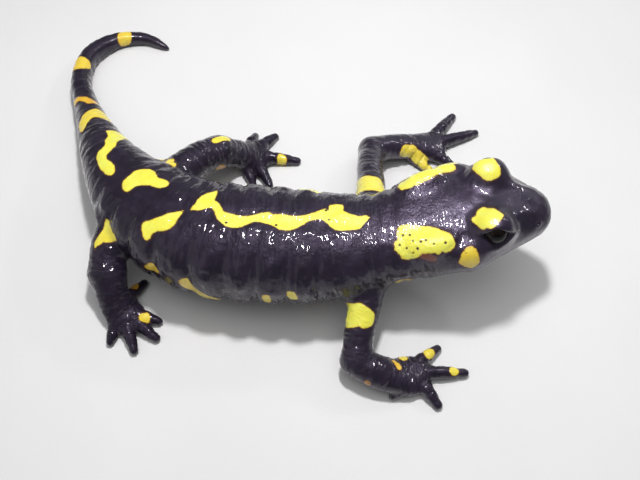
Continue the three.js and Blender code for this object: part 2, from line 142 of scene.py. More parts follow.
def noise(x, y, z, seed=0):
    """Smooth value noise from -1 to 1, about one bump to each unit."""
    p = np.stack(np.broadcast_arrays(x, y, z), -1).astype(float)
    i = np.floor(p).astype(np.int64)
    f = p - i
    w = f * f * f * (f * (f * 6 - 15) + 10)
    out = 0
    for a in (0, 1):
        for b in (0, 1):
            for c in (0, 1):
                g = (w[..., 0] if a else 1 - w[..., 0]) * (w[..., 1] if b else 1 - w[..., 1]) * (w[..., 2] if c else 1 - w[..., 2])
                out = out + g * lattice(i[..., 0] + a, i[..., 1] + b, i[..., 2] + c, seed)
    return out


class Tube:
    """A round-ended length along a curve: half width, height above and height below at each place."""

    def __init__(self, pts, at=None, size=None, step=0.4, power=2.1, length=None):
        c = cr_curve(np.asarray(pts, float)[:, :3] - ORIGIN)
        S = np.concatenate([[0], np.cumsum(np.linalg.norm(np.diff(c, axis=0), axis=1))])
        self.length = length or S[-1]
        self.k = S[-1] / self.length
        n = max(int(np.ceil(self.length / step)), 4)
        self.s = np.linspace(0, self.length, n + 1)
        self.ds = self.s[1]
        self.pos = lambda q: np.stack([np.interp(np.asarray(q) * self.k, S, c[:, j]) for j in range(3)], -1)
        self.P = self.pos(self.s)
        h = 0.4 / self.k
        self.T = unit(self.pos(np.minimum(self.s + h, self.length)) - self.pos(np.maximum(self.s - h, 0)))
        self.F = -self.T
        self.L = unit(np.cross([0, 0, 1.0], self.F))
        self.U = np.cross(self.F, self.L)
        if at is None:
            at = S[np.round(np.arange(len(pts)) / (len(pts) - 1) * 1600).astype(int)]
            size = np.asarray(pts, float)[:, 3:][:, [0, 1, 1]]
        self.A, self.B, self.C = [mono(at, np.asarray(size)[:, j])(self.s) for j in range(3)]
        self.n = power
        R = max(self.A.max(), self.B.max(), self.C.max())
        self.lo, self.hi = self.P.min(0) - R, self.P.max(0) + R

    def nearest(self, p):
        P = self.P.astype(np.float32)
        p2 = (P**2).sum(1)
        out = np.empty(len(p), np.int32)
        for i in range(0, len(p), 60000):
            q = p[i:i + 60000].astype(np.float32)
            out[i:i + 60000] = np.argmin(p2[None] - 2 * q @ P.T, 1)
        return out

    def coords(self, p, k=None):
        """Place along, offset to the left, offset up, and how far past an end."""
        k = self.nearest(p) if k is None else k
        for _ in range(2):
            w = ((p - self.P[k]) * self.T[k]).sum(1) / self.k
            k = np.clip(np.rint((self.s[k] + w) / self.ds).astype(np.int32), 0, len(self.s) - 1)
        d = p - self.P[k]
        s = self.s[k] + (d * self.T[k]).sum(1) / self.k
        over = (s - np.clip(s, 0, self.length)) * self.k
        s = np.clip(s, 0, self.length)
        return k, s, (d * self.L[k]).sum(1), (d * self.U[k]).sum(1), over

    def sizes(self, s):
        x = s / self.ds
        i = np.minimum(x.astype(np.int32), len(self.s) - 2)
        t = x - i
        return [g[i] * (1 - t) + g[i + 1] * t for g in (self.A, self.B, self.C)]

    def field(self, p, k=None):
        k, s, u, v, over = self.coords(p, k)
        a, top, bottom = self.sizes(s)
        b = np.where(v > 0, top, bottom)
        q = ((np.abs(u) / a) ** self.n + (np.abs(v) / b) ** self.n) ** (1 / self.n)
        q = np.hypot(q, over / np.minimum(a, b))
        r = np.sqrt(u * u + v * v + over * over)
        return r * (1 - 1 / np.maximum(q, 1e-6))

    def frame(self, s):
        k = int(round(s / self.ds))
        return self.pos(s), self.F[k], self.L[k], self.U[k]


class Ball:
    """An ellipsoid with its own axes."""

    def __init__(self, c, axes, radii):
        self.c = c
        self.M = np.array(axes) / np.array(radii)[:, None]
        R = max(radii)
        self.lo, self.hi = c - R, c + R

    def field(self, p):
        d = p - self.c
        r = np.linalg.norm(d, axis=1)
        q = np.linalg.norm(d @ self.M.T, axis=1)
        return r * (1 - 1 / np.maximum(q, 1e-6))


def smin(a, b, k):
    h = np.maximum(k - np.abs(a - b), 0) / k
    return np.minimum(a, b) - h * h * k / 4


def smax(a, b, k):
    return -smin(-a, -b, k)


def near(p, part, margin):
    return np.nonzero(((p > part.lo - margin) & (p < part.hi + margin)).all(1))[0]


# ------------------------------------------------------------------ the animal
body = Tube(SPINE, SECTIONS[:, 0], SECTIONS[:, 1:], step=0.35, power=2.25, length=163.0)


def place(s, side, out, up):
    p, F, L, U = body.frame(s)
    return p + L * side * out + U * up, F, L, U


def spin(v, axis, deg):
    a = math.radians(deg)
    return v * math.cos(a) + np.cross(axis, v) * math.sin(a) + axis * (axis @ v) * (1 - math.cos(a))


eyes = {}
head_parts = []
for side in (LEFT, RIGHT):
    c, F, L, U = place(EYE["at"] - side * EYE["skew"], side, EYE["out"], EYE["up"])
    gaze = unit(L * side * 0.96 - F * 0.04 + U * 0.26)
    across = unit(np.cross(U, gaze))
    eyes[side] = dict(c=c, gaze=gaze, across=across, up=np.cross(gaze, across), side=side)
    head_parts.append((Ball(c - gaze * EYE["inset"], [F, L, U], [EYE["lid"] * 1.14, EYE["lid"] * 1.04, EYE["lid"]]), 3.2))
    g, F, L, U = place(GLAND["at"] - side * GLAND["skew"], side, GLAND["out"], GLAND["up"])
    head_parts.append((Ball(g, [spin(F, U, side * GLAND["splay"]), spin(L, U, side * GLAND["splay"]), U], GLAND["size"]), 1.6))
    g, F, L, U = place(CHEEK["at"], side, CHEEK["out"], CHEEK["up"])
    head_parts.append((Ball(g, [F, L, U], CHEEK["size"]), 2.0))

limbs = {}
for name, spec in LIMBS.items():
    digits = []
    for (rx, ry), (tx, ty) in spec["digits"]:
        # a digit arches a little over its middle joint and ends in a blunt round tip
        digits.append(Tube([
            [rx, ry, 1.45, 1.6, 1.7], [rx + (tx - rx) * 0.35, ry + (ty - ry) * 0.35, 1.5, 1.42, 1.5],
            [rx + (tx - rx) * 0.7, ry + (ty - ry) * 0.7, 1.15, 1.22, 1.25], [tx, ty, 0.8, 0.92, 0.95]], step=0.3, power=2.0))
    limbs[name] = dict(upper=Tube(spec["upper"]), lower=Tube(spec["lower"]), digits=digits)
    parts = [limbs[name]["upper"], limbs[name]["lower"]] + digits
    limbs[name]["lo"] = np.min([t.lo for t in parts], 0)
    limbs[name]["hi"] = np.max([t.hi for t in parts], 0)


class Box:
    def __init__(self, lo, hi):
        self.lo, self.hi = lo, hi


def limb_field(limb, p):
    f = smin(limb["upper"].field(p), limb["lower"].field(p), 1.6)
    for d in limb["digits"]:
        i = near(p, d, 2.0)
        if len(i):
            f[i] = smin(f[i], d.field(p[i]), 1.0)
    return f


def eye_opening(eye, p):
    """Negative inside the opening between the lids, in mm."""
    d = p - eye["c"]
    g, h, v = d @ eye["gaze"], d @ eye["across"], d @ eye["up"]
    ah, av = np.arctan2(h, np.maximum(g, 1e-3)), np.arctan2(v, np.maximum(g, 1e-3))
    q = ((np.abs(ah) / math.radians(67)) ** 1.8 + (np.abs(av) / np.where(av > 0, math.radians(44), math.radians(42))) ** 1.8) ** (1 / 1.8)
    f = np.where(g > 0, (q - 1) * math.radians(44) * EYE["radius"], 4.0)
    return np.maximum(f, EYE["radius"] - 0.45 - np.linalg.norm(d, axis=1))


def skin_field(p):
    f = body.field(p)
    for part, k in head_parts:
        i = near(p, part, 3.0)
        if len(i):
            f[i] = smin(f[i], part.field(p[i]), k)
    for limb in limbs.values():
        i = near(p, Box(limb["lo"], limb["hi"]), 5.0)
        if len(i):
            f[i] = smin(f[i], limb_field(limb, p[i]), 2.2)
    for eye in eyes.values():
        i = np.nonzero(((p - eye["c"]) ** 2).sum(1) < 36)[0]
        if len(i):
            f[i] = smax(f[i], -eye_opening(eye, p[i]), 0.5)
    return np.where(p[:, 2] < 1.5, smax(f, -p[:, 2], 0.3), f)


# ------------------------------------------------------------------ surface nets
def polygonize(lo, hi, h):
    B = 4
    nb = np.ceil((hi - lo) / (h * B)).astype(int)
    n = nb * B
    gx, gy, gz = np.meshgrid(*[np.arange(m) for m in nb], indexing="ij")
    blocks = np.stack([gx.ravel(), gy.ravel(), gz.ravel()], 1)
    fc = skin_field(lo + (blocks * B + (B - 1) / 2) * h)
    dense = np.repeat(np.repeat(np.repeat(np.sign(fc).reshape(nb), B, 0), B, 1), B, 2).astype(np.float32) * 9
    act = blocks[np.abs(fc) < h * B * 0.87 * 2.3]
    off = np.stack([a.ravel() for a in np.meshgrid(range(B), range(B), range(B), indexing="ij")], 1)
    idx = (act[:, None, :] * B + off[None]).reshape(-1, 3)
    dense[idx[:, 0], idx[:, 1], idx[:, 2]] = skin_field(lo + idx * h)
    inside = dense < 0
    count = sum(inside[a:n[0] - 1 + a, b:n[1] - 1 + b, c:n[2] - 1 + c].astype(np.int8)
                for a in (0, 1) for b in (0, 1) for c in (0, 1))
    cells = np.argwhere((count > 0) & (count < 8))
    ids = np.full(n, -1, np.int64)
    ids[cells[:, 0], cells[:, 1], cells[:, 2]] = np.arange(len(cells))
    corners = [(a, b, c) for a in (0, 1) for b in (0, 1) for c in (0, 1)]
    val = np.stack([dense[cells[:, 0] + a, cells[:, 1] + b, cells[:, 2] + c] for a, b, c in corners], 1)
    acc = np.zeros((len(cells), 3))
    num = np.zeros(len(cells))
    for i, ca in enumerate(corners):
        for j, cb in enumerate(corners):
            if j <= i or sum(x != y for x, y in zip(ca, cb)) != 1:
                continue
            m = (val[:, i] < 0) != (val[:, j] < 0)
            t = val[m, i] / (val[m, i] - val[m, j])
            acc[m] += np.array(ca) + (np.array(cb) - np.array(ca)) * t[:, None]
            num[m] += 1
    verts = lo + (cells + acc / num[:, None]) * h
    quads = []
    for a in range(3):
        b, c = (a + 1) % 3, (a + 2) % 3
        s0 = [slice(0, m) for m in n]
        s1 = [slice(0, m) for m in n]
        s0[a], s1[a] = slice(0, n[a] - 1), slice(1, n[a])
        x, y = inside[tuple(s0)], inside[tuple(s1)]
        for flip, mask in ((False, x & ~y), (True, ~x & y)):
            e = np.argwhere(mask)
            q = []
            for db, dc in ((-1, -1), (0, -1), (0, 0), (-1, 0)):
                o = e.copy()
                o[:, b] += db
                o[:, c] += dc
                q.append(ids[o[:, 0], o[:, 1], o[:, 2]])
            q = np.stack(q, 1)
            quads.append(q[:, ::-1] if flip else q)
    return verts, np.vstack(quads)


def project(V, times=1):
    for _ in range(times):
        f = skin_field(V)
        e = 0.02
        g = np.stack([(skin_field(V + np.eye(3)[j] * e) - f) / e for j in range(3)], 1)
        step = -f[:, None] * g / np.maximum((g * g).sum(1), 0.25)[:, None]
        V = V + step * np.minimum(1, 0.35 / np.maximum(np.linalg.norm(step, axis=1), 1e-9))[:, None]
    return V


def edges_of(faces):
    e = np.vstack([faces[:, [i, (i + 1) % faces.shape[1]]] for i in range(faces.shape[1])])
    e.sort(axis=1)
    return np.unique(e, axis=0)


def normals_of(V, F):
    n = np.zeros_like(V)
    for i in range(1, F.shape[1] - 1):
        c = np.cross(V[F[:, i]] - V[F[:, 0]], V[F[:, i + 1]] - V[F[:, 0]])
        for j in (0, i, i + 1):
            for k in range(3):
                n[:, k] += np.bincount(F[:, j], c[:, k], len(V))
    return unit(n)


def average(V, E):
    s = np.zeros_like(V)
    for k in range(V.shape[1]):
        s[:, k] = np.bincount(E[:, 0], V[E[:, 1], k], len(V)) + np.bincount(E[:, 1], V[E[:, 0], k], len(V))
    return s / np.maximum(np.bincount(E.ravel(), minlength=len(V)), 1)[:, None]


def relax(V, F, E, amount=0.6):
    d = average(V, E) - V
    n = normals_of(V, F)
    return V + amount * (d - (d * n).sum(1)[:, None] * n)


def mesh_from(name, V, F):
    me = bpy.data.meshes.new(name)
    me.vertices.add(len(V))
    me.vertices.foreach_set("co", np.ascontiguousarray(V, np.float32).ravel())
    k = F.shape[1]
    me.loops.add(F.size)
    me.loops.foreach_set("vertex_index", F.ravel().astype(np.int32))
    me.polygons.add(len(F))
    me.polygons.foreach_set("loop_start", (np.arange(len(F)) * k).astype(np.int32))
    me.update(calc_edges=True)
    return me


def refine(V, F, chosen):
    """Splits the chosen faces in four and triangulates the rest to fit."""
    me = mesh_from("tmp", V, F)
    bm = bmesh.new()
    bm.from_mesh(me)
    bm.faces.ensure_lookup_table()
    edges = {e for i in np.nonzero(chosen)[0] for e in bm.faces[int(i)].edges}
    bmesh.ops.subdivide_edges(bm, edges=list(edges), cuts=1, use_grid_fill=True)
    bmesh.ops.triangulate(bm, faces=bm.faces[:])
    bm.verts.index_update()
    W = np.array([v.co[:] for v in bm.verts])
    T = np.array([[v.index for v in f.verts] for f in bm.faces])
    bm.free()
    bpy.data.meshes.remove(me)
    return W, T


# ------------------------------------------------------------------ markings
# closed loops of (distance along in mm, degrees round from the top; the right side is positive on the body)
# Each marking's orange factor turns its yellow toward amber: partly the markings' own orange, partly painted shade on
# the marks low on the flanks, under the body and on the limbs.
MARKS = [
    dict(on="body", loop=[(105.7, -19), (105.7, -36), (105.4, -58), (103.6, -64), (102.6, -62), (102.6, -55), (101.2, -39), (100.7, -29),
                          (99.7, -21), (98.8, -16), (98.2, -6), (97.6, 5), (97.1, 8), (96.2, 10), (95.2, 8), (93.9, 6), (92.7, 8),
                          (91.7, 12), (91.2, 18), (91.7, 22), (92.6, 25), (94.7, 28), (96.4, 27), (97.9, 25), (99.1, 21), (99.8, 13),
                          (100.3, 4), (101.1, -3), (102.3, -6), (103.3, -15), (104.4, -17)]),
    dict(on="body", loop=[(87.9, 15), (88.3, 10), (88.7, 2), (88.8, -9), (88.4, -18), (87.5, -25), (86.5, -30), (85.1, -30), (83.9, -26),
                          (83, -24), (82.1, -26), (81.1, -28), (80.1, -25), (79.7, -21), (79.9, -16), (80.6, -11), (81.9, -9), (83.1, -7),
                          (84.3, -2), (85.1, 4), (85.2, 10), (85.2, 15), (85.5, 19), (86.1, 21), (86.9, 20)]),
    dict(on="body", loop=[(73, 1), (74.9, 12), (76.1, 22), (77.4, 31), (78.2, 37), (78.1, 43), (77.1, 49), (76.4, 52), (75.8, 50),
                          (75.7, 43), (75.2, 38), (74, 34), (73.3, 28), (73, 22), (72.9, 8)]),
    dict(on="body", loop=[(71.7, -2), (71.7, -7), (71.3, -13), (71.4, -18), (70.9, -25), (70.1, -31), (69.2, -35), (68.2, -38),
                          (67.8, -34), (67.7, -26), (67.5, -21), (66.5, -18), (65.5, -12), (65.1, -8), (64.3, -7), (63.2, -6), (61.7, -4),
                          (60.3, -4), (59, -6), (57.8, -9), (56.1, -11), (55.2, -9), (53.7, -10), (51.5, -9), (50, -9), (48.6, -11),
                          (46.9, -15), (45.7, -19), (44.4, -23), (43.7, -21), (43.6, -29), (42.1, -32), (40.3, -32), (40, -27),
                          (40.1, -21), (38.7, -17), (37.5, -14), (36.4, -12), (35.6, -14), (34.1, -12), (34.3, -7), (35.3, 0), (37, 9),
                          (38.7, 10), (40.2, 10), (41.6, 9), (42.7, 6), (43.4, 2), (44.2, -3), (45.4, -6), (46.4, -5), (47.7, -3),
                          (48.5, 1), (49.8, 7), (51.1, 11), (52.5, 12), (53.8, 11), (54.9, 7), (55.8, 5), (56.8, 4), (58.1, 3), (59.4, 6),
                          (60.5, 10), (61.2, 12), (62.6, 13), (63.9, 12), (65.1, 7), (65.9, 3), (66.7, -4), (67.3, -9), (68.4, -9),
                          (69.5, -5), (70.8, -3)]),
    dict(on="body", loop=[(29.8, 21), (29.4, 16), (28.9, 15), (27.9, 16), (26.8, 21), (25.6, 26), (24.3, 31), (22.9, 38), (21.7, 44),
                          (20.9, 47), (20.4, 51), (20.1, 56), (20.1, 59), (20.6, 62), (21.3, 64), (22, 64), (22.8, 64), (23.4, 61),
                          (23.9, 62), (24.5, 63), (25, 60), (25.5, 59), (26, 58), (26.6, 58), (27.1, 57), (27.6, 59), (28.1, 61),
                          (28.8, 62), (29.5, 63), (30.2, 61), (30.3, 58), (30.6, 53), (30.9, 47), (30.8, 42), (30.7, 38), (30.2, 36),
                          (30.1, 28)]),
    dict(on="body", loop=[(27.2, -57), (26.4, -64), (24.3, -68), (22, -71), (19.6, -74), (17.4, -76), (16.2, -72), (16.9, -68),
                          (16.8, -63), (17, -61), (17.8, -58), (18.6, -55), (19.5, -51), (20.3, -48), (21.2, -45), (22, -43), (22.8, -42),
                          (23.6, -41), (24.4, -42), (25.2, -42), (26.1, -44), (26.7, -46), (27.1, -50)]),
    dict(on="body", warm=0.4, loop=[(17.3, 64), (16.8, 65), (16.3, 68), (16, 72), (15.8, 77), (15.9, 82), (16.6, 85), (17.6, 86.5),
                          (18.8, 84.5), (19.7, 81), (20.3, 78), (20, 75), (19.6, 71), (19.1, 68), (18.6, 66), (17.9, 64)]),
    dict(on="body", warm=0.4, loop=[(15.6, -84), (17.6, -84), (18.6, -90), (18.4, -98), (17, -102), (15.6, -99), (15, -92)]),
    dict(on="eye", side=RIGHT, toward=(0, -0.5, 0.866), loop=[(-4.54, 2.16), (-3.72, 2.84), (-3.56, 3.37), (-2.72, 4.1), (-1.92, 4.32), (-1.18, 4.09),
         (-0.41, 4.13), (0.06, 3.85), (0.54, 3.44), (1.06, 2.98), (1.16, 2.64), (0.63, 1.96), (0.01, 1.3), (-0.56, 0.64), (-1.09, 0.2),
         (-1.61, 0.1), (-2.2, 0.25), (-2.77, -0.05), (-3.14, 0), (-3.55, 0.56), (-4.09, 1.14), (-4.51, 1.6)]),
    dict(on="eye", side=LEFT, toward=(0, 0, 1), loop=[(-3.46, -0.47), (-3.3, 0.6), (-2.7, 1.75), (-1.8, 2.45), (-0.7, 2.5), (0.26, 1.9), (0.9, 0.8),
         (1.39, -0.3), (1.8, -1.21), (1.78, -2.06), (1.44, -2.75), (0.87, -3.14), (0.3, -3.28), (-0.23, -3.5), (-0.89, -3.45), (-1.45, -3.2),
         (-1.8, -2.86), (-2.45, -2.15), (-3.04, -1.35)]),
    dict(on="body", warm=0.3, loop=[(56.2, 83), (55, 81), (54.7, 89), (55, 97), (56, 97), (56.4, 89)]),
    dict(on="body", warm=0.25, loop=[(51.6, 78), (50.2, 77), (49.8, 83), (49.9, 90), (51.2, 91), (51.8, 85)]),
    dict(on="body", warm=0.4, loop=[(70.6, 80), (69.4, 75), (68.5, 82), (67.2, 90), (65.6, 97), (64.6, 107), (66.2, 113), (68, 109), (69.3, 98), (70.5, 89)]),
    dict(on="body", warm=0.5, loop=[(76.2, 85), (75, 75), (74.2, 75), (73.4, 78), (74.3, 85), (75.4, 88)]),
    dict(on="body", warm=0.45, loop=[(32.9, 104), (32, 94), (30.8, 94), (29.8, 102), (30, 114), (32.3, 114)]),
    dict(on="body", loop=[(50.6, -56), (48.2, -53.5), (45.9, -56), (45.7, -66), (47.3, -72), (49.5, -70), (50.9, -63)]),
    dict(on="body", warm=0.35, loop=[(115.2, -75), (115.4, -45), (116.3, -30), (116.2, -12), (115.6, 8), (114.3, 28), (112.6, 43), (110.6, 42),
                                     (109.6, 31), (111.3, 14), (112.4, -2), (112.2, -20), (111.6, -36), (112, -75)]),
    dict(on="body", warm=0.75, loop=[(119.4, -90), (119, -50), (118.8, -20), (118.9, -5), (120.3, 4), (121.6, 24), (121.8, 50), (123.8, 52), (123.5, 28), (122.7, 10), (121.9, -9), (121.2, -22), (120.8, -50), (121, -90)]),
    # sides that face away, and the underside
    dict(on="body", warm=0.3, loop=[(64.5, -72), (61.5, -70), (59, -76), (57.8, -86), (60.4, -90), (63.6, -84), (66.2, -78)]),
    dict(on="body", warm=0.5, loop=[(79, -84), (76.5, -78), (74.6, -86), (75, -98), (77.8, -100), (79.6, -92)]),
    dict(on="body", warm=0.6, loop=[(42, -96), (40.2, -90), (38.8, -98), (39.6, -108), (41.8, -107)]),
    dict(on="body", warm=0.3, loop=[(94.6, -72), (92.2, -66), (90.2, -74), (90.8, -88), (93.4, -92), (95.4, -84)]),
    dict(on="body", warm=0.5, loop=[(134.5, -40), (133.6, 0), (134, 50), (136.4, 62), (138, 20), (137.4, -30), (136, -62)]),
    dict(on="body", warm=0.5, loop=[(149.5, -100), (149, -30), (150.4, 30), (152.4, 30), (152.8, -30), (151.8, -100)]),
    dict(on="body", warm=0.8, loop=[(12.5, 158), (11, 166), (11.8, 176), (14.4, 176), (15.2, 164), (14, 156)]),
    dict(on="body", warm=0.8, loop=[(24.2, -156), (22.6, -148), (23.4, -140), (25.4, -142), (25.8, -152)]),
    dict(on="body", warm=0.8, loop=[(48.2, 146), (46.4, 150), (46.4, 158), (48.4, 160), (49.4, 153)]),
    dict(on="body", warm=0.8, loop=[(62.4, -150), (60.6, -146), (60.4, -138), (62.6, -137), (63.6, -144)]),
    dict(on="body", warm=0.8, loop=[(83, 150), (81, 146), (80.2, 138), (82.4, 136), (84, 142)]),
    dict(on="body", warm=0.8, loop=[(109.5, 160), (107.4, 152), (108, 140), (110.6, 138), (111.6, 150)]),
    # limbs
    dict(on=("front_right", "upper"), loop=[(9.3, -37), (8.9, -21), (9.1, -4), (9.5, 14), (10, 35), (10.8, 48), (12.4, 49), (13.4, 32), (13.7, 15),
                                            (13.5, -4), (13.9, -22), (14.2, -56), (13.9, -100), (13.4, -120), (10, -118), (9.4, -90)]),
    dict(on=("front_left", "upper"), loop=[(8.8, 100), (9.2, 60), (9, 30), (8.5, -1), (8.3, -29), (6.8, -54), (5, -90), (3.6, -60), (3.6, 0), (4, 60), (5, 100)], warm=0.15),
    dict(on=("hind_right", "upper"), loop=[(5.4, -7), (7, 15), (7.9, 28), (8.5, 36), (9.1, 28), (9.5, 14), (9.6, -2), (10.2, -17), (10.8, -30), (9.6, -34), (8.6, -24), (7.3, -15)], warm=0.15),
    dict(path=[(17.1, -24.0, 3.6)], r=1.0, warm=0.25),
    dict(path=[(15.06, -25.52, 5), (16.06, -26.92, 5)], r=0.55, warm=0.6),
    dict(path=[(22.56, -22.73, 2.4)], r=1.3, warm=0.3),
    dict(path=[(27.5, -26.6, 2.3)], r=1.05, warm=0.2),
    # painted shade: the brown on this spot, on the spot under the left knee and on the spot by the right hind foot
    # stands for shade
    dict(path=[(9.46, -30.42, 4.8)], r=0.85, warm=1.0, brown_and_shade=0.6),
    dict(path=[(19.9, 27.2, 4.4), (21.3, 27.4, 4.2), (23.0, 26.4, 2.9), (24.7, 25.2, 2.2), (26.3, 23.8, 1.6)], r=1.55, warm=0.28),
    dict(path=[(-32.7, 18.0, 14.1), (-32.9, 16.9, 14.8), (-31.9, 16.6, 14.6)], r=0.85, warm=0.35),
    dict(path=[(-23.6, 25.2, 11.6), (-21.0, 26.9, 10.2)], r=0.95, warm=0.12),
    dict(path=[(-22.74, 20.48, 6.8)], r=1.4, warm=1.0, brown_and_shade=0.35),
    dict(path=[(-9.1, 26.4, 1.0), (-9.0, 26.6, 3)], r=1.15, warm=0.3),
    dict(path=[(-40.14, -7.13, 2.5)], r=0.9, warm=0.8, brown_and_shade=0.55),
    dict(path=[(-37.24, -14.72, 2.3)], r=1.3, warm=0.35),
    # the red-brown spot under the parotoid gland: its own brown pigment
    dict(path=[(20.1, -10.9, 22.6), (21.9, -11.3, 22.3)], r=0.72, warm=1.0, brown_and_shade=0.97),
]
# pores of the parotoid glands and of the rows along the back: place on the skin
PORES = [(16.23, -6.55, 23.2), (17.57, -6.66, 23.5), (18.06, -8.09, 23.7), (19.54, -8.54, 24.2), (20.49, -8.36, 24.5),
         (21.98, -9.29, 24.6), (24.26, -9.11, 24.7), (15.56, -8.39, 22.6), (16.85, -9.25, 22.8), (18.92, -9.72, 23.5),
         (18.11, -10.22, 22.7), (28.23, -10.69, 23.5), (-18.72, -2.86, 22.1), (-13.51, -3.18, 22.5), (-8.72, -3.72, 22.6),
         (1.2, -0.2, 22.4), (1.79, -2.43, 22.6)]
PORES_LEFT = [(25.8, -63), (24.6, -67), (23.4, -65), (22, -69), (20.6, -67), (19.2, -71), (17.9, -70)]


def closed_curve(pts, per=4):
    P = np.asarray(pts, float)
    out = []
    n = len(P)
    for i in range(n):
        a, b, c, d = P[i - 1], P[i], P[(i + 1) % n], P[(i + 2) % n]
        for j in range(per):
            t = j / per
            out.append(0.5 * (2 * b + (c - a) * t + (2 * a - 5 * b + 4 * c - d) * t * t + (3 * b - a - 3 * c + d) * t**3))
    return np.array(out)


def inside_distance(q, loop):
    """Distance from each point to the loop, positive inside."""
    a, b = loop, np.roll(loop, -1, 0)
    best = np.full(len(q), 1e9)
    winding = np.zeros(len(q), bool)
    for p0, p1 in zip(a, b):
        e = p1 - p0
        w = q - p0
        t = np.clip((w @ e) / max(e @ e, 1e-12), 0, 1)
        best = np.minimum(best, ((w - t[:, None] * e) ** 2).sum(1))
        if p0[1] != p1[1]:
            cross = ((p0[1] > q[:, 1]) != (p1[1] > q[:, 1])) & (q[:, 0] < e[0] * (q[:, 1] - p0[1]) / (p1[1] - p0[1]) + p0[0])
            winding ^= cross
    return np.sqrt(best) * np.where(winding, 1, -1)


def path_distance(p, path):
    best = np.full(len(p), 1e9)
    P = np.asarray(path, float)
    for a, b in zip(P, P[1:] if len(P) > 1 else P):
        e = b - a
        t = np.clip(((p - a) @ e) / max(e @ e, 1e-9), 0, 1)
        best = np.minimum(best, np.linalg.norm(p - a - t[:, None] * e, axis=1))
    return best


# ------------------------------------------------------------------ the skin mesh
lo = np.minimum(body.lo, np.min([l["lo"] for l in limbs.values()], 0)) - 1.5
hi = np.maximum(body.hi, np.max([l["hi"] for l in limbs.values()], 0)) + 1.5
lo[2] = -1.0
hi[2] = 31.0
V, Q = polygonize(lo, hi, VOXEL)
E = edges_of(Q)
V = project(V, 2)
for _ in range(3):
    V = project(relax(V, Q, E), 1)


def mouth_height(s):
    """Height of the line of the mouth over the spine."""
    return -1.7 + 0.35 * bell(s, 3.0) - 1.3 * smooth(s, 15.5, 20.0)


def finer(V, F, times):
    """The faces that carry small detail."""
    C = V[F].mean(1)
    pore = np.min([np.linalg.norm(C - q, axis=1) for q in pores], 0)
    k, s, u, v, over = body.coords(C)
    eye = np.min([np.linalg.norm(C - e["c"], axis=1) for e in eyes.values()], 0)
    nose = np.min([np.linalg.norm(C - n, axis=1) for n in nostrils], 0)
    lips = (s < 21) & (np.abs(v - mouth_height(s)) < (0.9 if times == 0 else 0.45)) & (np.abs(u) + over > 0.5)
    pick = (eye < (4.3 if times == 0 else 3.4)) | (nose < 1.3) | lips | (pore < (1.1 if times == 0 else 0.7))
    if times == 0:
        deg = np.degrees(np.arctan2(-u, v))
        pick |= (s > 18) & (s < 32) & (v > 0) & (((deg > 18) & (deg < 70)) | ((deg > -76) & (deg < -38)))
        for limb in limbs.values():
            for d in limb["digits"]:
                i = near(C, d, 0.4)
                pick[i] |= C[i, 2] < 4.0
    return pick


nostrils = []
for side in (LEFT, RIGHT):
    nostrils.append(place(3.5, side, 4.3, 2.8)[0])
nostrils = project(np.array(nostrils), 12)
left_pores = []
for s0, deg in PORES_LEFT:
    p, F, L, U = body.frame(s0)
    r = np.linspace(3, 16, 200)
    ray = p + r[:, None] * (-math.sin(math.radians(deg)) * L + math.cos(math.radians(deg)) * U)
    left_pores.append(ray[np.argmax(skin_field(ray) > 0)])
pores = project(np.vstack([np.array(PORES) - ORIGIN, left_pores]), 6)
for times in range(2):
    V, Q = refine(V, Q, finer(V, Q, times))
    V = project(V, 2)
    V = project(relax(V, Q, edges_of(Q), 0.4), 1)
V[:, 2] = np.maximum(V[:, 2], 0)
print("skin", len(V), "points", len(Q), "faces")

# ------------------------------------------------------------------ where each point is
N = normals_of(V, Q)
k, S, u, v, over = body.coords(V)
TH = np.arctan2(-u, v)
DEG = np.degrees(TH)
AD = np.abs(DEG)
R = np.hypot(u, v)
fb = body.field(V)
for part, kk in head_parts:
    i = near(V, part, 3.0)
    fb[i] = np.minimum(fb[i], part.field(V[i]))
tubes = {}
for name, limb in limbs.items():
    tubes[name, "upper"] = limb["upper"]
    tubes[name, "lower"] = limb["lower"]
    for j, d in enumerate(limb["digits"]):
        tubes[name, "d%d" % j] = d
fl = np.full(len(V), 50.0)
LT, LA, LR, LD = (np.zeros(len(V)) for _ in range(4))
LN = np.zeros(len(V), int)
for n, (key, tube) in enumerate(tubes.items()):
    i = near(V, tube, 3.0)
    f = tube.field(V[i])
    m = f < fl[i]
    j = i[m]
    _, ts, tu, tv, to = tube.coords(V[j])
    base = 0 if key[1] == "upper" else limbs[key[0]]["upper"].length if key[1] == "lower" else 60
    fl[j], LT[j], LA[j], LR[j], LN[j] = f[m], ts + base, np.arctan2(-tu, tv), np.hypot(tu, tv), n
    LD[j] = 1.0 if key[1].startswith("d") else 0.0
LIMB = smooth(fb - fl, -0.9, 1.6)
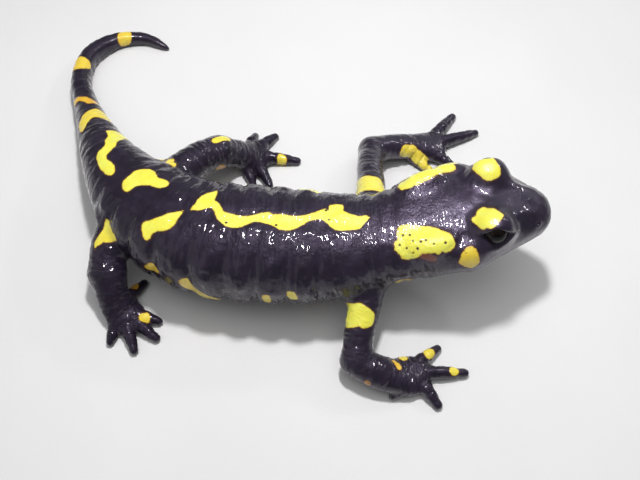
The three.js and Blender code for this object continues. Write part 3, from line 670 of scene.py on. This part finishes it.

# signed distance into the nearest marking, how orange it is (partly its own orange, partly painted shade on the marks
# low on the flanks, under the body and on the limbs) and how brown (real pigment on the spot under the parotoid,
# painted shade on the spots low on the limbs)
MARK = np.full(len(V), -3.0)
ORANGE_AND_SHADE = np.zeros(len(V))
BROWN_AND_SHADE = np.zeros(len(V))
for mark in MARKS:
    if "path" in mark:
        d = mark["r"] - path_distance(V, np.array(mark["path"]) - ORIGIN)
        d += 0.12 * noise(V[:, 0] * 1.1, V[:, 1] * 1.1, V[:, 2] * 1.1, 5)
        i = np.arange(len(V))
    else:
        pts = np.array(mark["loop"], float)
        if mark["on"] == "eye":
            e, w = eyes[mark["side"]], np.array(mark["toward"])
            ya = np.cross(w, (1.0, 0.0, 0.0))
            d = V - e["c"]
            i = np.nonzero((np.linalg.norm(d, axis=1) < 7) & (d @ w > -2.5))[0]
            q = np.stack([d[i, 0], d[i] @ ya], 1)
            a = b = None
        elif mark["on"] == "body":
            a, b, rr, ok = S, DEG, R, LIMB < 0.75
        else:
            tube = tubes[mark["on"]]
            _, a, tu, tv, to = tube.coords(V)
            b, rr = np.degrees(np.arctan2(-tu, tv)), np.hypot(tu, tv)
            near_tube = np.zeros(len(V), bool)
            near_tube[near(V, tube, 1.5)] = True
            ok = near_tube & (tube.field(V) < 1.6) & (np.abs(to) < 0.5)
        if a is None:
            d = inside_distance(q, closed_curve(pts))
        else:
            i = np.nonzero(ok & (a > pts[:, 0].min() - 2) & (a < pts[:, 0].max() + 2)
                           & (b > pts[:, 1].min() - 25) & (b < pts[:, 1].max() + 25))[0]
            if not len(i):
                continue
            rad = float(np.median(rr[i]))
            loop = closed_curve(np.stack([pts[:, 0], np.radians(pts[:, 1]) * rad], 1))
            d = inside_distance(np.stack([a[i], np.radians(b[i]) * rad], 1), loop)
    better = d > MARK[i]
    ORANGE_AND_SHADE[i[better]] = mark.get("warm", 0.0)
    BROWN_AND_SHADE[i[better]] = mark.get("brown_and_shade", 0.0)
    MARK[i] = np.maximum(MARK[i], d)
MARK = np.clip(MARK, -2, 2)

PORES_AND_CREASE_SHADE = np.zeros(len(V))
for n, p in enumerate(pores):
    d = np.linalg.norm(V - p, axis=1)
    PORES_AND_CREASE_SHADE = np.maximum(PORES_AND_CREASE_SHADE, smooth(-d, -0.44, -0.15) * (0.5 if n == 11 else 0.82 + 0.18 * math.sin(n * 2.3)))

# ------------------------------------------------------------------ folds, wrinkles and warts (mm, outward)
D = np.zeros(len(V))
BODY = 1 - LIMB
c, sn = np.cos(TH), np.sin(TH)
drift = noise(c * 1.6 + S / 14, sn * 1.6, S / 9, 1)
groove_at = [45.9, 51.7, 57.5, 63.4, 69.4, 75.2, 80.8, 86.0, 90.8]
flank = smooth(AD, 22, 58) * (1 - 0.6 * smooth(AD, 125, 172))
fold = np.zeros(len(V))
for n, g in enumerate(groove_at):
    x = S + 0.55 * drift + 0.4 * np.sin(TH * 2 + n) - g
    fold += bell(x, 0.62 + 0.12 * math.sin(n * 1.7))
D -= BODY * fold * (0.31 * flank + 0.04)
trunk = smooth(S, 40, 47) * (1 - smooth(S, 90, 97))
swell = np.zeros(len(V))
for g0, g1 in zip(groove_at, groove_at[1:]):
    x = (S + 0.55 * drift - g0) / (g1 - g0)
    swell += np.where((x > 0) & (x < 1), np.sin(np.pi * np.clip(x, 0, 1)), 0)
D += BODY * trunk * flank * (0.40 * swell - 0.07) * np.where(DEG > 0, 1.0, 0.45)
# a shallow furrow along the middle of the back, and swellings beside it
D -= BODY * 0.28 * bell(DEG, 9) * smooth(S, 34, 42) * (1 - smooth(S, 92, 104))
# fine creases round the trunk and the tail
crease = noise(S / 0.62 + 0.7 * drift, c * R / 3.4, sn * R / 3.4, 2)
crease2 = noise(S / 1.25 + 0.6 * drift, c * R / 4.5, sn * R / 4.5, 3)
amount = (0.35 + 0.65 * smooth(AD, 12, 50)) * smooth(S, 21, 34) * (1 - 0.62 * smooth(S, 78, 96))
D += BODY * (0.052 * crease + 0.10 * crease2) * amount
tail = smooth(S, 97, 108)
ring = np.zeros(len(V))
for n in range(19):
    g = 99.5 + n * 3.05 + 0.3 * math.sin(n * 2.1)
    ring += bell(S + 0.5 * drift - g, 0.42)
D -= BODY * ring * 0.12 * smooth(S, 96, 104) * (1 - smooth(S, 150, 158)) * (0.5 + 0.5 * smooth(AD, 15, 50))
# soft unevenness of the whole surface
D += 0.10 * noise(V[:, 0] / 2.4, V[:, 1] / 2.4, V[:, 2] / 2.4, 7) * (1 - 0.5 * bell(S - 6, 12) * BODY)
D += 0.045 * noise(V[:, 0] / 1.0, V[:, 1] / 1.0, V[:, 2] / 1.0, 8)
# glands in a double row along the back and in one row along each flank
for n in range(24):
    s0 = 37 + n * 2.75
    for deg in (-15, 15):
        a = deg + 3 * math.sin(n * 1.9 + deg)
        d2 = (S - s0 - 0.3 * math.sin(n * 2.7)) ** 2 + (np.radians(DEG - a) * R) ** 2
        D += BODY * 0.16 * np.exp(-d2 / 0.62**2)
for n, (g0, g1) in enumerate(zip(groove_at, groove_at[1:])):
    for deg, height, wide in ((-54, 0.30, 0.85), (54, 0.30, 0.85), (-76, 0.24, 1.05), (76, 0.24, 1.05)):
        a = deg + 4 * math.sin(n * 1.3 + deg)
        s0 = (g0 + g1) / 2 + 0.5 * math.sin(n * 2.9 + deg)
        d2 = (S - s0) ** 2 + (np.radians(DEG - a) * R) ** 2
        D += BODY * height * np.exp(-d2 / wide**2)
# throat fold, neck folds
D -= BODY * 0.55 * bell(S - 31.2 + 1.2 * np.cos(TH), 0.55) * smooth(AD, 88, 118)
for s0, depth, wide in ((33.2, 0.30, 0.7), (36.4, 0.24, 0.6), (29.3, 0.16, 0.5)):
    D -= BODY * depth * bell(S + 0.6 * drift - s0, wide) * smooth(AD, 34, 62) * (1 - smooth(AD, 130, 165))
# the neck in front of the fore limbs and the loose skin of the throat
D += BODY * 0.09 * noise(S / 0.8, c * R / 2.6, sn * R / 2.6, 11) * smooth(S, 22, 29) * (1 - smooth(S, 38, 44)) * smooth(AD, 60, 90)
# head: the flat top between the eyes, ridges from the eyes to the nostrils, the seam of the mouth, nostrils
head = BODY * (1 - smooth(S, 24, 30))
D += head * 0.34 * bell(S - 12.5, 4.0) * bell(u, 3.4) * (v > 0)
# low swellings of the head: place along, degrees round, height, width
for s0, deg, height, wide in ((7.1, 35.6, 0.36, 1.15), (7.1, -35.6, 0.30, 1.15), (8.5, 60.3, 0.26, 0.8), (8.5, -60.3, 0.26, 0.8),
                              (12.2, 10.4, 0.15, 0.55), (11.1, 24.5, 0.15, 0.55), (12.0, -15.0, 0.12, 0.6), (5.2, -1.6, 0.24, 0.8),
                              (15.2, -42.0, 0.20, 0.7), (14.6, -33.0, 0.16, 0.6), (16.4, 33.0, 0.16, 0.6), (9.3, 2.0, 0.10, 0.8)):
    d2 = (S - s0) ** 2 + (np.radians(DEG - deg) * R) ** 2
    D += head * height * np.exp(-d2 / wide**2)
D -= head * 0.22 * bell(S - 5.2, 2.4) * bell(np.abs(u) - 4.6, 1.3) * (v > 0)
D += head * 0.14 * bell(np.abs(u) - 3.1, 0.8) * smooth(S, 2.5, 5) * (1 - smooth(S, 9, 11.5)) * (v > 0)
seam = v - mouth_height(S)
lips = head * (1 - smooth(S, 18.8, 20.6)) * smooth(np.abs(u) + over, 0.2, 1.2)
D -= lips * 0.56 * bell(seam, 0.22)
D += lips * 0.12 * bell(seam - 0.75, 0.5)
D -= lips * 0.20 * smooth(-seam, 0.0, 0.5) * (1 - smooth(-seam, 2.2, 4.5))
for p in nostrils:
    d = np.linalg.norm(V - p, axis=1)
    D += 0.10 * bell(d - 0.62, 0.3) - 0.5 * bell(d, 0.3)
# the line between cheek and parotoid, and behind the jaw
D -= head * 0.35 * bell(DEG - 59 - 1.2 * (S - 19), 5.0) * bell(S - 19.5, 2.6)
D -= head * 0.35 * bell(-DEG - 59 - 1.2 * (S - 19), 5.0) * bell(S - 19.5, 2.6)
# rim round each eye and the crease over the upper lid
for e in eyes.values():
    i = np.nonzero(((V - e["c"]) ** 2).sum(1) < 30)[0]
    o = eye_opening(e, V[i])
    d = V[i] - e["c"]
    above = smooth(d @ e["up"], -0.6, 1.0)
    r = np.linalg.norm(d, axis=1)
    D[i] += 0.08 * bell(o - 0.35, 0.28) * (1 - above) * (r > EYE["radius"] - 0.1)
    D[i] -= 0.07 * bell(o - 1.1, 0.35) * (1 - above)
    # the lids themselves stay smooth
    D[i] *= 1 - 0.6 * bell(np.maximum(r - 3.0, 0), 1.2)
# a flatter crown on each lid
for e in eyes.values():
    crown = e["c"] - e["gaze"] * EYE["inset"] + EYE["lid"] * np.array([-0.18, -0.15, 0.972])
    D -= 0.20 * np.exp(-((V - crown) ** 2).sum(1) / 1.25**2)
D -= 0.10 * PORES_AND_CREASE_SHADE
# vent
D += BODY * 0.35 * bell(S - 101.5, 3.4) * bell(180 - AD, 30) - BODY * 0.45 * bell(S - 101.5, 2.0) * bell(180 - AD, 3.2)
# limbs: rings at wrist, elbow and along the digits
lt = LT + 0.35 * noise(V[:, 0] / 3, V[:, 1] / 3, V[:, 2] / 3, 13)
far_arm = np.isin(LN, [n for n, key in enumerate(tubes) if key[0] == "front_left" and not key[1].startswith("d")])
D += LIMB * (1 - LD) * (1 - 0.45 * far_arm) * (0.075 * noise(lt / 0.62, np.cos(LA) * LR / 2.6, np.sin(LA) * LR / 2.6, 14)
                        + 0.07 * noise(lt / 1.4, np.cos(LA) * LR / 3.5, np.sin(LA) * LR / 3.5, 15))
D -= LIMB * LD * 0.085 * (0.5 + 0.5 * np.cos(2 * math.pi * lt / 2.1)) ** 4
D += LIMB * LD * 0.03 * noise(lt / 0.5, np.cos(LA) * 0.5, np.sin(LA) * 0.5, 16)
rings = {"front_right": (29.0, 32.6), "front_left": (32.0, 36.0), "hind_left": (24.5, 27.5), "hind_right": (18.5, 21.5)}
for name, (a, b) in rings.items():
    own = np.isin(LN, [n for n, key in enumerate(tubes) if key[0] == name])
    w = smooth(LT, a - 0.8, a + 0.4) * (1 - smooth(LT, b - 0.4, b + 0.8)) * own * LIMB * (1 - LD)
    D -= w * 0.13 * (0.5 + 0.5 * np.cos(2 * math.pi * (lt - a) / 0.95)) ** 3

thumb = np.array([(19.9, 27.2, 4.4), (23.0, 26.4, 2.9), (26.3, 23.8, 1.6)]) - ORIGIN
w = smooth(-path_distance(V, thumb), -2.6, -1.2)
t = (V - thumb[0]) @ unit(thumb[2] - thumb[0])
joints = w * (0.5 + 0.5 * np.cos(2 * math.pi * t / 2.15)) ** 3
D -= 0.30 * joints
# painted shade: the creases between the thumb's segments are darkened with the pore colour
PORES_AND_CREASE_SHADE = np.maximum(PORES_AND_CREASE_SHADE, 0.48 * joints)

up = smooth(V[:, 2], 0.02, 0.6)
D *= up
V = V + N * D[:, None]
V[:, 2] = np.maximum(V[:, 2], 0)

# ------------------------------------------------------------------ materials
def tree_of(name):
    m = bpy.data.materials.new(name)
    m.use_nodes = True
    t = m.node_tree
    t.nodes.clear()
    out = t.nodes.new("ShaderNodeOutputMaterial")
    p = t.nodes.new("ShaderNodeBsdfPrincipled")
    t.links.new(p.outputs[0], out.inputs[0])
    return m, t, p


class Nodes:
    def __init__(self, t):
        self.t = t

    def link(self, a, b):
        if isinstance(a, (int, float)):
            b.default_value = a
        elif isinstance(a, (tuple, list)):
            b.default_value = tuple(a) + ((1.0,) if len(a) == 3 and len(b.default_value) == 4 else ())
        else:
            self.t.links.new(a, b)

    def attr(self, name, out="Fac"):
        n = self.t.nodes.new("ShaderNodeAttribute")
        n.attribute_name = name
        return n.outputs[out]

    def math(self, op, a, b=0.0, c=None, clamp=False):
        n = self.t.nodes.new("ShaderNodeMath")
        n.operation = op
        n.use_clamp = clamp
        self.link(a, n.inputs[0])
        self.link(b, n.inputs[1])
        if c is not None:
            self.link(c, n.inputs[2])
        return n.outputs[0]

    def vmath(self, op, a, b):
        n = self.t.nodes.new("ShaderNodeVectorMath")
        n.operation = op
        self.link(a, n.inputs[0])
        self.link(b, n.inputs[1])
        return n.outputs[0]

    def ramp(self, x, lo, hi, a=0.0, b=1.0):
        n = self.t.nodes.new("ShaderNodeMapRange")
        n.interpolation_type = "SMOOTHSTEP"
        self.link(x, n.inputs[0])
        for i, w in enumerate((lo, hi, a, b)):
            n.inputs[i + 1].default_value = w
        return n.outputs[0]

    def noise(self, vec, scale, detail=2.0, rough=0.5):
        n = self.t.nodes.new("ShaderNodeTexNoise")
        self.link(vec, n.inputs["Vector"])
        n.inputs["Scale"].default_value = scale
        n.inputs["Detail"].default_value = detail
        n.inputs["Roughness"].default_value = rough
        return n.outputs[0]

    def cells(self, vec, scale, kind="SMOOTH_F1"):
        n = self.t.nodes.new("ShaderNodeTexVoronoi")
        n.feature = kind
        self.link(vec, n.inputs["Vector"])
        n.inputs["Scale"].default_value = scale
        return n.outputs["Distance"]

    def mix(self, f, a, b):
        n = self.t.nodes.new("ShaderNodeMix")
        n.data_type = "RGBA"
        self.link(f, n.inputs["Factor"])
        self.link(a, n.inputs[6])
        self.link(b, n.inputs[7])
        return n.outputs[2]

    def bump(self, height, distance, strength=1.0, normal=None):
        n = self.t.nodes.new("ShaderNodeBump")
        n.inputs["Strength"].default_value = strength
        n.inputs["Distance"].default_value = distance
        self.link(height, n.inputs["Height"])
        if normal is not None:
            self.link(normal, n.inputs["Normal"])
        return n.outputs[0]

    def position(self):
        return self.t.nodes.new("ShaderNodeTexCoord").outputs["Object"]


def skin_material():
    m, t, p = tree_of("salamander_skin")
    n = Nodes(t)
    pos = n.vmath("MULTIPLY", n.position(), (1000.0, 1000.0, 1000.0))       # mm
    wb, wl = n.attr("wrap_body", "Vector"), n.attr("wrap_limb", "Vector")
    limb = n.attr("limb")
    mark, warm, pore, belly = n.attr("mark"), n.attr("warm"), n.attr("pore"), n.attr("belly")
    # edges of the markings wander by about a tenth of a millimetre
    edge = n.math("ADD", mark, n.math("MULTIPLY", n.math("SUBTRACT", n.noise(pos, 1.7, 3.0, 0.6), 0.5), 0.42))
    yellow = n.ramp(edge, -0.05, 0.09)
    fringe = n.math("MULTIPLY", n.ramp(edge, -0.42, -0.02), n.math("SUBTRACT", 1.0, yellow))
    blot = n.noise(pos, 0.33, 3.0, 0.55)
    fine = n.noise(pos, 2.6, 2.0, 0.6)
    dark = n.mix(n.ramp(blot, 0.32, 0.7), (0.0072, 0.0046, 0.0110), (0.0150, 0.0100, 0.0220))
    dark = n.mix(n.math("MULTIPLY", belly, 0.75), dark, (0.040, 0.031, 0.043))
    dark = n.mix(n.math("MULTIPLY", fringe, 0.55), dark, (0.085, 0.030, 0.008))
    # The amber mix below is partly the markings' own orange and partly painted shade on the marks low on the flanks,
    # under the body and on the limbs.
    lemon = n.mix(n.ramp(blot, 0.3, 0.72), (0.77, 0.79, 0.115), (0.79, 0.74, 0.065))
    amber = n.mix(n.ramp(blot, 0.3, 0.72), (0.82, 0.44, 0.020), (0.70, 0.28, 0.012))
    paint = n.mix(warm, lemon, amber)
    # The brown mix below is the real red-brown pigment of the spot under the parotoid, and painted shade on the spots
    # low on the limbs.
    brown_and_shade = n.attr("brown_and_shade")
    paint = n.mix(brown_and_shade, paint, (0.130, 0.036, 0.016))
    paint = n.mix(n.math("MULTIPLY", n.ramp(fine, 0.45, 0.8), 0.13), paint, (0.50, 0.22, 0.01))
    # thinner pigment just inside the edge
    thin = n.math("MULTIPLY", n.ramp(edge, 0.34, 0.02), n.math("MULTIPLY_ADD", brown_and_shade, -0.45, 0.45))
    paint = n.mix(thin, paint, (0.62, 0.30, 0.012))
    colour = n.mix(yellow, dark, paint)
    # Pore colour: the pores themselves, and painted shade in the creases of the thumb.
    colour = n.mix(n.ramp(pore, 0.25, 0.8), colour, (0.085, 0.048, 0.010))
    n.link(colour, p.inputs["Base Color"])
    sleek = n.attr("sleek")
    n.link(n.math("SUBTRACT", n.math("ADD", 0.42, n.math("MULTIPLY", n.ramp(fine, 0.25, 0.75), 0.16)), n.math("MULTIPLY", sleek, 0.10)), p.inputs["Roughness"])
    # pebbled skin with creases that run across the body and the limbs
    stretch_b = n.vmath("MULTIPLY", wb, (1.75, 0.50, 0.50))
    stretch_l = n.vmath("MULTIPLY", wl, (1.9, 0.60, 0.60))
    crease_b, crease_l = n.noise(stretch_b, 1.0, 3.0, 0.62), n.noise(stretch_l, 1.0, 3.0, 0.62)
    crease = n.math("ADD", n.math("MULTIPLY", crease_b, n.math("SUBTRACT", 1.0, limb)), n.math("MULTIPLY", crease_l, limb))
    warped = n.vmath("ADD", pos, n.vmath("MULTIPLY", wb, (0.25, 0.0, 0.0)))
    pebble = n.cells(warped, 1.9)
    tiny = n.noise(pos, 6.5, 2.0, 0.5)
    smoothness = n.attr("smooth")
    big = n.math("MULTIPLY", crease, n.math("MULTIPLY_ADD", smoothness, -1.05, 1.25))
    h = n.math("ADD", big, n.math("MULTIPLY", pebble, n.math("MULTIPLY_ADD", smoothness, 0.36, -0.50)))
    h = n.math("ADD", h, n.math("MULTIPLY", tiny, 0.12))
    h = n.math("ADD", h, n.math("MULTIPLY", yellow, 0.05))
    normal = n.bump(h, 0.00013)
    n.link(normal, p.inputs["Normal"])
    # the wet film over it is smoother and breaks the light into short bright strokes
    film_b = n.noise(n.vmath("MULTIPLY", wb, (1.15, 0.30, 0.30)), 1.0, 0.6, 0.45)
    film_l = n.noise(n.vmath("MULTIPLY", wl, (1.25, 0.42, 0.42)), 1.0, 0.6, 0.45)
    film = n.math("ADD", n.math("MULTIPLY", film_b, n.math("SUBTRACT", 1.0, limb)), n.math("MULTIPLY", film_l, limb))
    film = n.math("MULTIPLY", film, n.math("MULTIPLY_ADD", smoothness, -1.5, 1.8))
    film = n.math("ADD", film, n.math("MULTIPLY", n.cells(pos, 0.95), n.math("MULTIPLY_ADD", smoothness, 0.10, -0.32)))
    n.link(n.bump(film, 0.00030), p.inputs["Coat Normal"])
    shine = n.math("MULTIPLY_ADD", sleek, 0.36, 0.26)
    n.link(n.math("MULTIPLY", shine, n.math("MULTIPLY_ADD", n.attr("dry"), -0.85, 1.0)), p.inputs["Specular IOR Level"])
    p.inputs["Specular Tint"].default_value = (0.84, 0.72, 1.0, 1.0)
    p.inputs["Coat Weight"].default_value = 1.0
    p.inputs["Coat Roughness"].default_value = 0.06
    p.inputs["Coat IOR"].default_value = 1.36
    return m


def eye_material():
    m, t, p = tree_of("salamander_eye")
    n = Nodes(t)
    pos = n.vmath("MULTIPLY", n.position(), (1000.0, 1000.0, 1000.0))
    polar = n.attr("polar")
    ray = n.attr("ray", "Vector")
    streak = n.noise(ray, 5.0, 3.0, 0.6)
    fleck = n.noise(pos, 7.0, 2.0, 0.6)
    iris = n.mix(n.ramp(streak, 0.35, 0.75), (0.0028, 0.0020, 0.0020), (0.011, 0.0065, 0.0042))
    iris = n.mix(n.math("MULTIPLY", n.ramp(fleck, 0.62, 0.74), 0.6), iris, (0.09, 0.055, 0.02))
    sclera = n.mix(n.ramp(fleck, 0.3, 0.7), (0.010, 0.007, 0.009), (0.020, 0.013, 0.015))
    colour = n.mix(n.ramp(polar, 47.0, 53.0), iris, sclera)
    colour = n.mix(n.ramp(polar, 24.0, 21.5), colour, (0.0010, 0.0010, 0.0013))
    n.link(colour, p.inputs["Base Color"])
    n.link(n.math("ADD", 0.16, n.math("MULTIPLY", n.ramp(fleck, 0.3, 0.7), 0.14)), p.inputs["Roughness"])
    p.inputs["Coat Weight"].default_value = 0.45
    p.inputs["Coat Roughness"].default_value = 0.02
    p.inputs["Coat IOR"].default_value = 1.30
    p.inputs["Specular IOR Level"].default_value = 0.1
    return m


def floor_material():
    m, t, p = tree_of("pale_floor")
    n = Nodes(t)
    pos = n.vmath("MULTIPLY", n.position(), (1000.0, 1000.0, 1000.0))
    n.link(n.mix(n.noise(pos, 0.02, 3.0, 0.5), (0.66, 0.66, 0.655), (0.74, 0.74, 0.735)), p.inputs["Base Color"])
    n.link(n.bump(n.noise(pos, 1.4, 2.0, 0.5), 0.00003), p.inputs["Normal"])
    p.inputs["Roughness"].default_value = 0.75
    p.inputs["Specular IOR Level"].default_value = 0.2
    return m


# ------------------------------------------------------------------ Blender pieces
def piece(name, V, F, material, attrs=()):
    me = mesh_from(name, V * MM, F)
    for key, value in attrs:
        if value.ndim == 1:
            me.attributes.new(key, "FLOAT", "POINT").data.foreach_set("value", value.astype(np.float32))
        else:
            me.attributes.new(key, "FLOAT_VECTOR", "POINT").data.foreach_set("vector", value.astype(np.float32).ravel())
    me.shade_smooth()
    me.materials.append(material)
    ob = bpy.data.objects.new(name, me)
    bpy.context.scene.collection.objects.link(ob)
    return ob


wrap_body = np.stack([S, c * R, sn * R], 1)
wrap_limb = np.stack([LT, np.cos(LA) * LR + LN * 7.3, np.sin(LA) * LR], 1)
belly = (1 - LIMB) * smooth(AD, 118, 156) + LIMB * smooth(np.abs(np.degrees(LA)), 120, 165)
lid = np.max([bell(np.maximum(np.linalg.norm(V - e["c"], axis=1) - 2.6, 0), 1.3) for e in eyes.values()], 0)
smoothness = np.clip(BODY * (1 - smooth(S, 14, 25)) * 0.85 + lid * 0.3 + LIMB * LD * 0.45 + BODY * bell(DEG, 25) * 0.25, 0, 1)
rear = smooth(S, 66, 88) * BODY
smoothness = np.clip(smoothness + 0.55 * rear + 0.22 * BODY * smooth(-DEG, 20, 60), 0, 1)
smoothness = np.clip(smoothness + 0.45 * far_arm * LIMB, 0, 1)
sleek = np.clip(BODY * (1 - 0.75 * smooth(S, 26, 50)) + 0.45 * LIMB * (V[:, 0] > 0) + 0.4 * far_arm * LIMB, 0, 1)
dry = BODY * smooth(AD, 70, 112) * smooth(S, 20, 34)
skin = piece("skin", V, Q, skin_material(), [
    ("wrap_body", wrap_body), ("wrap_limb", wrap_limb), ("limb", LIMB), ("mark", MARK), ("warm", ORANGE_AND_SHADE), ("brown_and_shade", BROWN_AND_SHADE),
    ("pore", PORES_AND_CREASE_SHADE), ("belly", belly), ("smooth", smoothness), ("sleek", sleek), ("dry", dry)])

eye_look = eye_material()
eye_pieces = {}
for side, e in eyes.items():
    rows, cols = 60, 72
    pol = np.concatenate([np.linspace(0, 60, 40), np.linspace(60, 180, rows - 39)[1:]])
    az = np.arange(cols) / cols * 2 * math.pi
    P, A = np.meshgrid(np.radians(pol[1:-1]), az, indexing="ij")
    deg = np.degrees(P)
    r = 2.64 + 0.15 * (1 - smooth(deg, 20, 50)) - 0.025 * bell(deg - 52, 4)
    pts = r[..., None] * (np.cos(P)[..., None] * e["gaze"] + (np.sin(P) * np.cos(A))[..., None] * e["across"] + (np.sin(P) * np.sin(A))[..., None] * e["up"])
    pts = np.vstack([[e["gaze"] * 2.79], pts.reshape(-1, 3), [-e["gaze"] * 2.64]]) + e["c"]
    m = len(pol) - 2
    faces = []
    for j in range(cols):
        j2 = (j + 1) % cols
        faces.append((0, 1 + j, 1 + j2))
        faces.append((len(pts) - 1, 1 + (m - 1) * cols + j2, 1 + (m - 1) * cols + j))
        for i in range(m - 1):
            a, b = 1 + i * cols + j, 1 + i * cols + j2
            faces += [(a, a + cols, b + cols), (a, b + cols, b)]
    faces = np.array(faces)
    polar = np.concatenate([[0], deg.ravel(), [180]])
    ray = np.vstack([[0, 0, 0], np.stack([np.cos(A), np.sin(A), deg / 60], -1).reshape(-1, 3), [0, 0, 3]])
    name = "eyeball_left" if side == LEFT else "eyeball_right"
    eye_pieces[side] = piece(name, pts, faces, eye_look, [("polar", polar), ("ray", ray)])

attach(skin, "root")
flesh = [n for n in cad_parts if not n.startswith("eye_")]
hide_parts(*flesh)
for side, name in ((LEFT, "eye_left"), (RIGHT, "eye_right")):
    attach(eye_pieces[side], "root")
    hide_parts(name)

# ------------------------------------------------------------------ floor, light, camera
def flat(name, size, z):
    me = bpy.data.meshes.new(name)
    h = size / 2
    me.from_pydata([(-h, -h, z), (h, -h, z), (h, h, z), (-h, h, z)], [], [(0, 1, 2, 3)])
    me.materials.append(floor_material())
    ob = bpy.data.objects.new(name, me)
    bpy.context.scene.collection.objects.link(ob)
    return ob


flat("floor", 4.0, 0.0)


def lamp(name, at, to, size, power, colour):
    L = bpy.data.lights.new(name, "AREA")
    L.shape = "DISK"
    L.size = size
    L.energy = power
    L.color = colour
    ob = bpy.data.objects.new(name, L)
    ob.location = at
    ob.rotation_euler = (Vector(to) - Vector(at)).to_track_quat("-Z", "Y").to_euler()
    bpy.context.scene.collection.objects.link(ob)
    return ob


AIM = tuple((np.array([0.0, 0.0, 10.0]) - ORIGIN) * MM)
EYE_POINT = tuple((np.array([0.0, -93.5, 171.947]) - ORIGIN) * MM)
lamp("key", (AIM[0] + 0.004, AIM[1] + 0.043, 0.235), AIM, 0.024, 0.44, (1.0, 0.985, 1.0))
lamp("glint", (AIM[0] + 0.278, AIM[1] + 0.195, 0.258), AIM, 0.028, 0.17, (1.0, 0.99, 1.0))
lamp("side", (-0.42, -0.16, 0.26), (0, 0, 0.01), 0.60, 0.32, (1.0, 0.96, 0.98))
lamp("back", (0.26, 0.42, 0.30), (0, 0, 0.01), 0.60, 0.28, (0.93, 0.96, 1.0))
sky = bpy.data.lights.new("overhead", "SUN")
sky.energy = 0.92
sky.angle = math.radians(60)
sky_ob = bpy.data.objects.new("overhead", sky)
sky_ob.visible_glossy = False
bpy.context.scene.collection.objects.link(sky_ob)
world = bpy.data.worlds.new("studio")
world.use_nodes = True
world.node_tree.nodes["Background"].inputs[0].default_value = (0.80, 0.81, 0.84, 1)
world.node_tree.nodes["Background"].inputs[1].default_value = 0.19
bpy.context.scene.world = world

cam = bpy.data.cameras.new("camera")
cam.sensor_width = 36.0
cam.lens = 18.0 / math.tan(math.radians(20.0))
cam.clip_start = 0.005
cam_ob = bpy.data.objects.new("camera", cam)
cam_ob.location = EYE_POINT
cam_ob.rotation_euler = (Vector(AIM) - Vector(EYE_POINT)).to_track_quat("-Z", "Y").to_euler()
bpy.context.scene.collection.objects.link(cam_ob)
bpy.context.scene.camera = cam_ob
bpy.context.scene.view_settings.view_transform = "Standard"
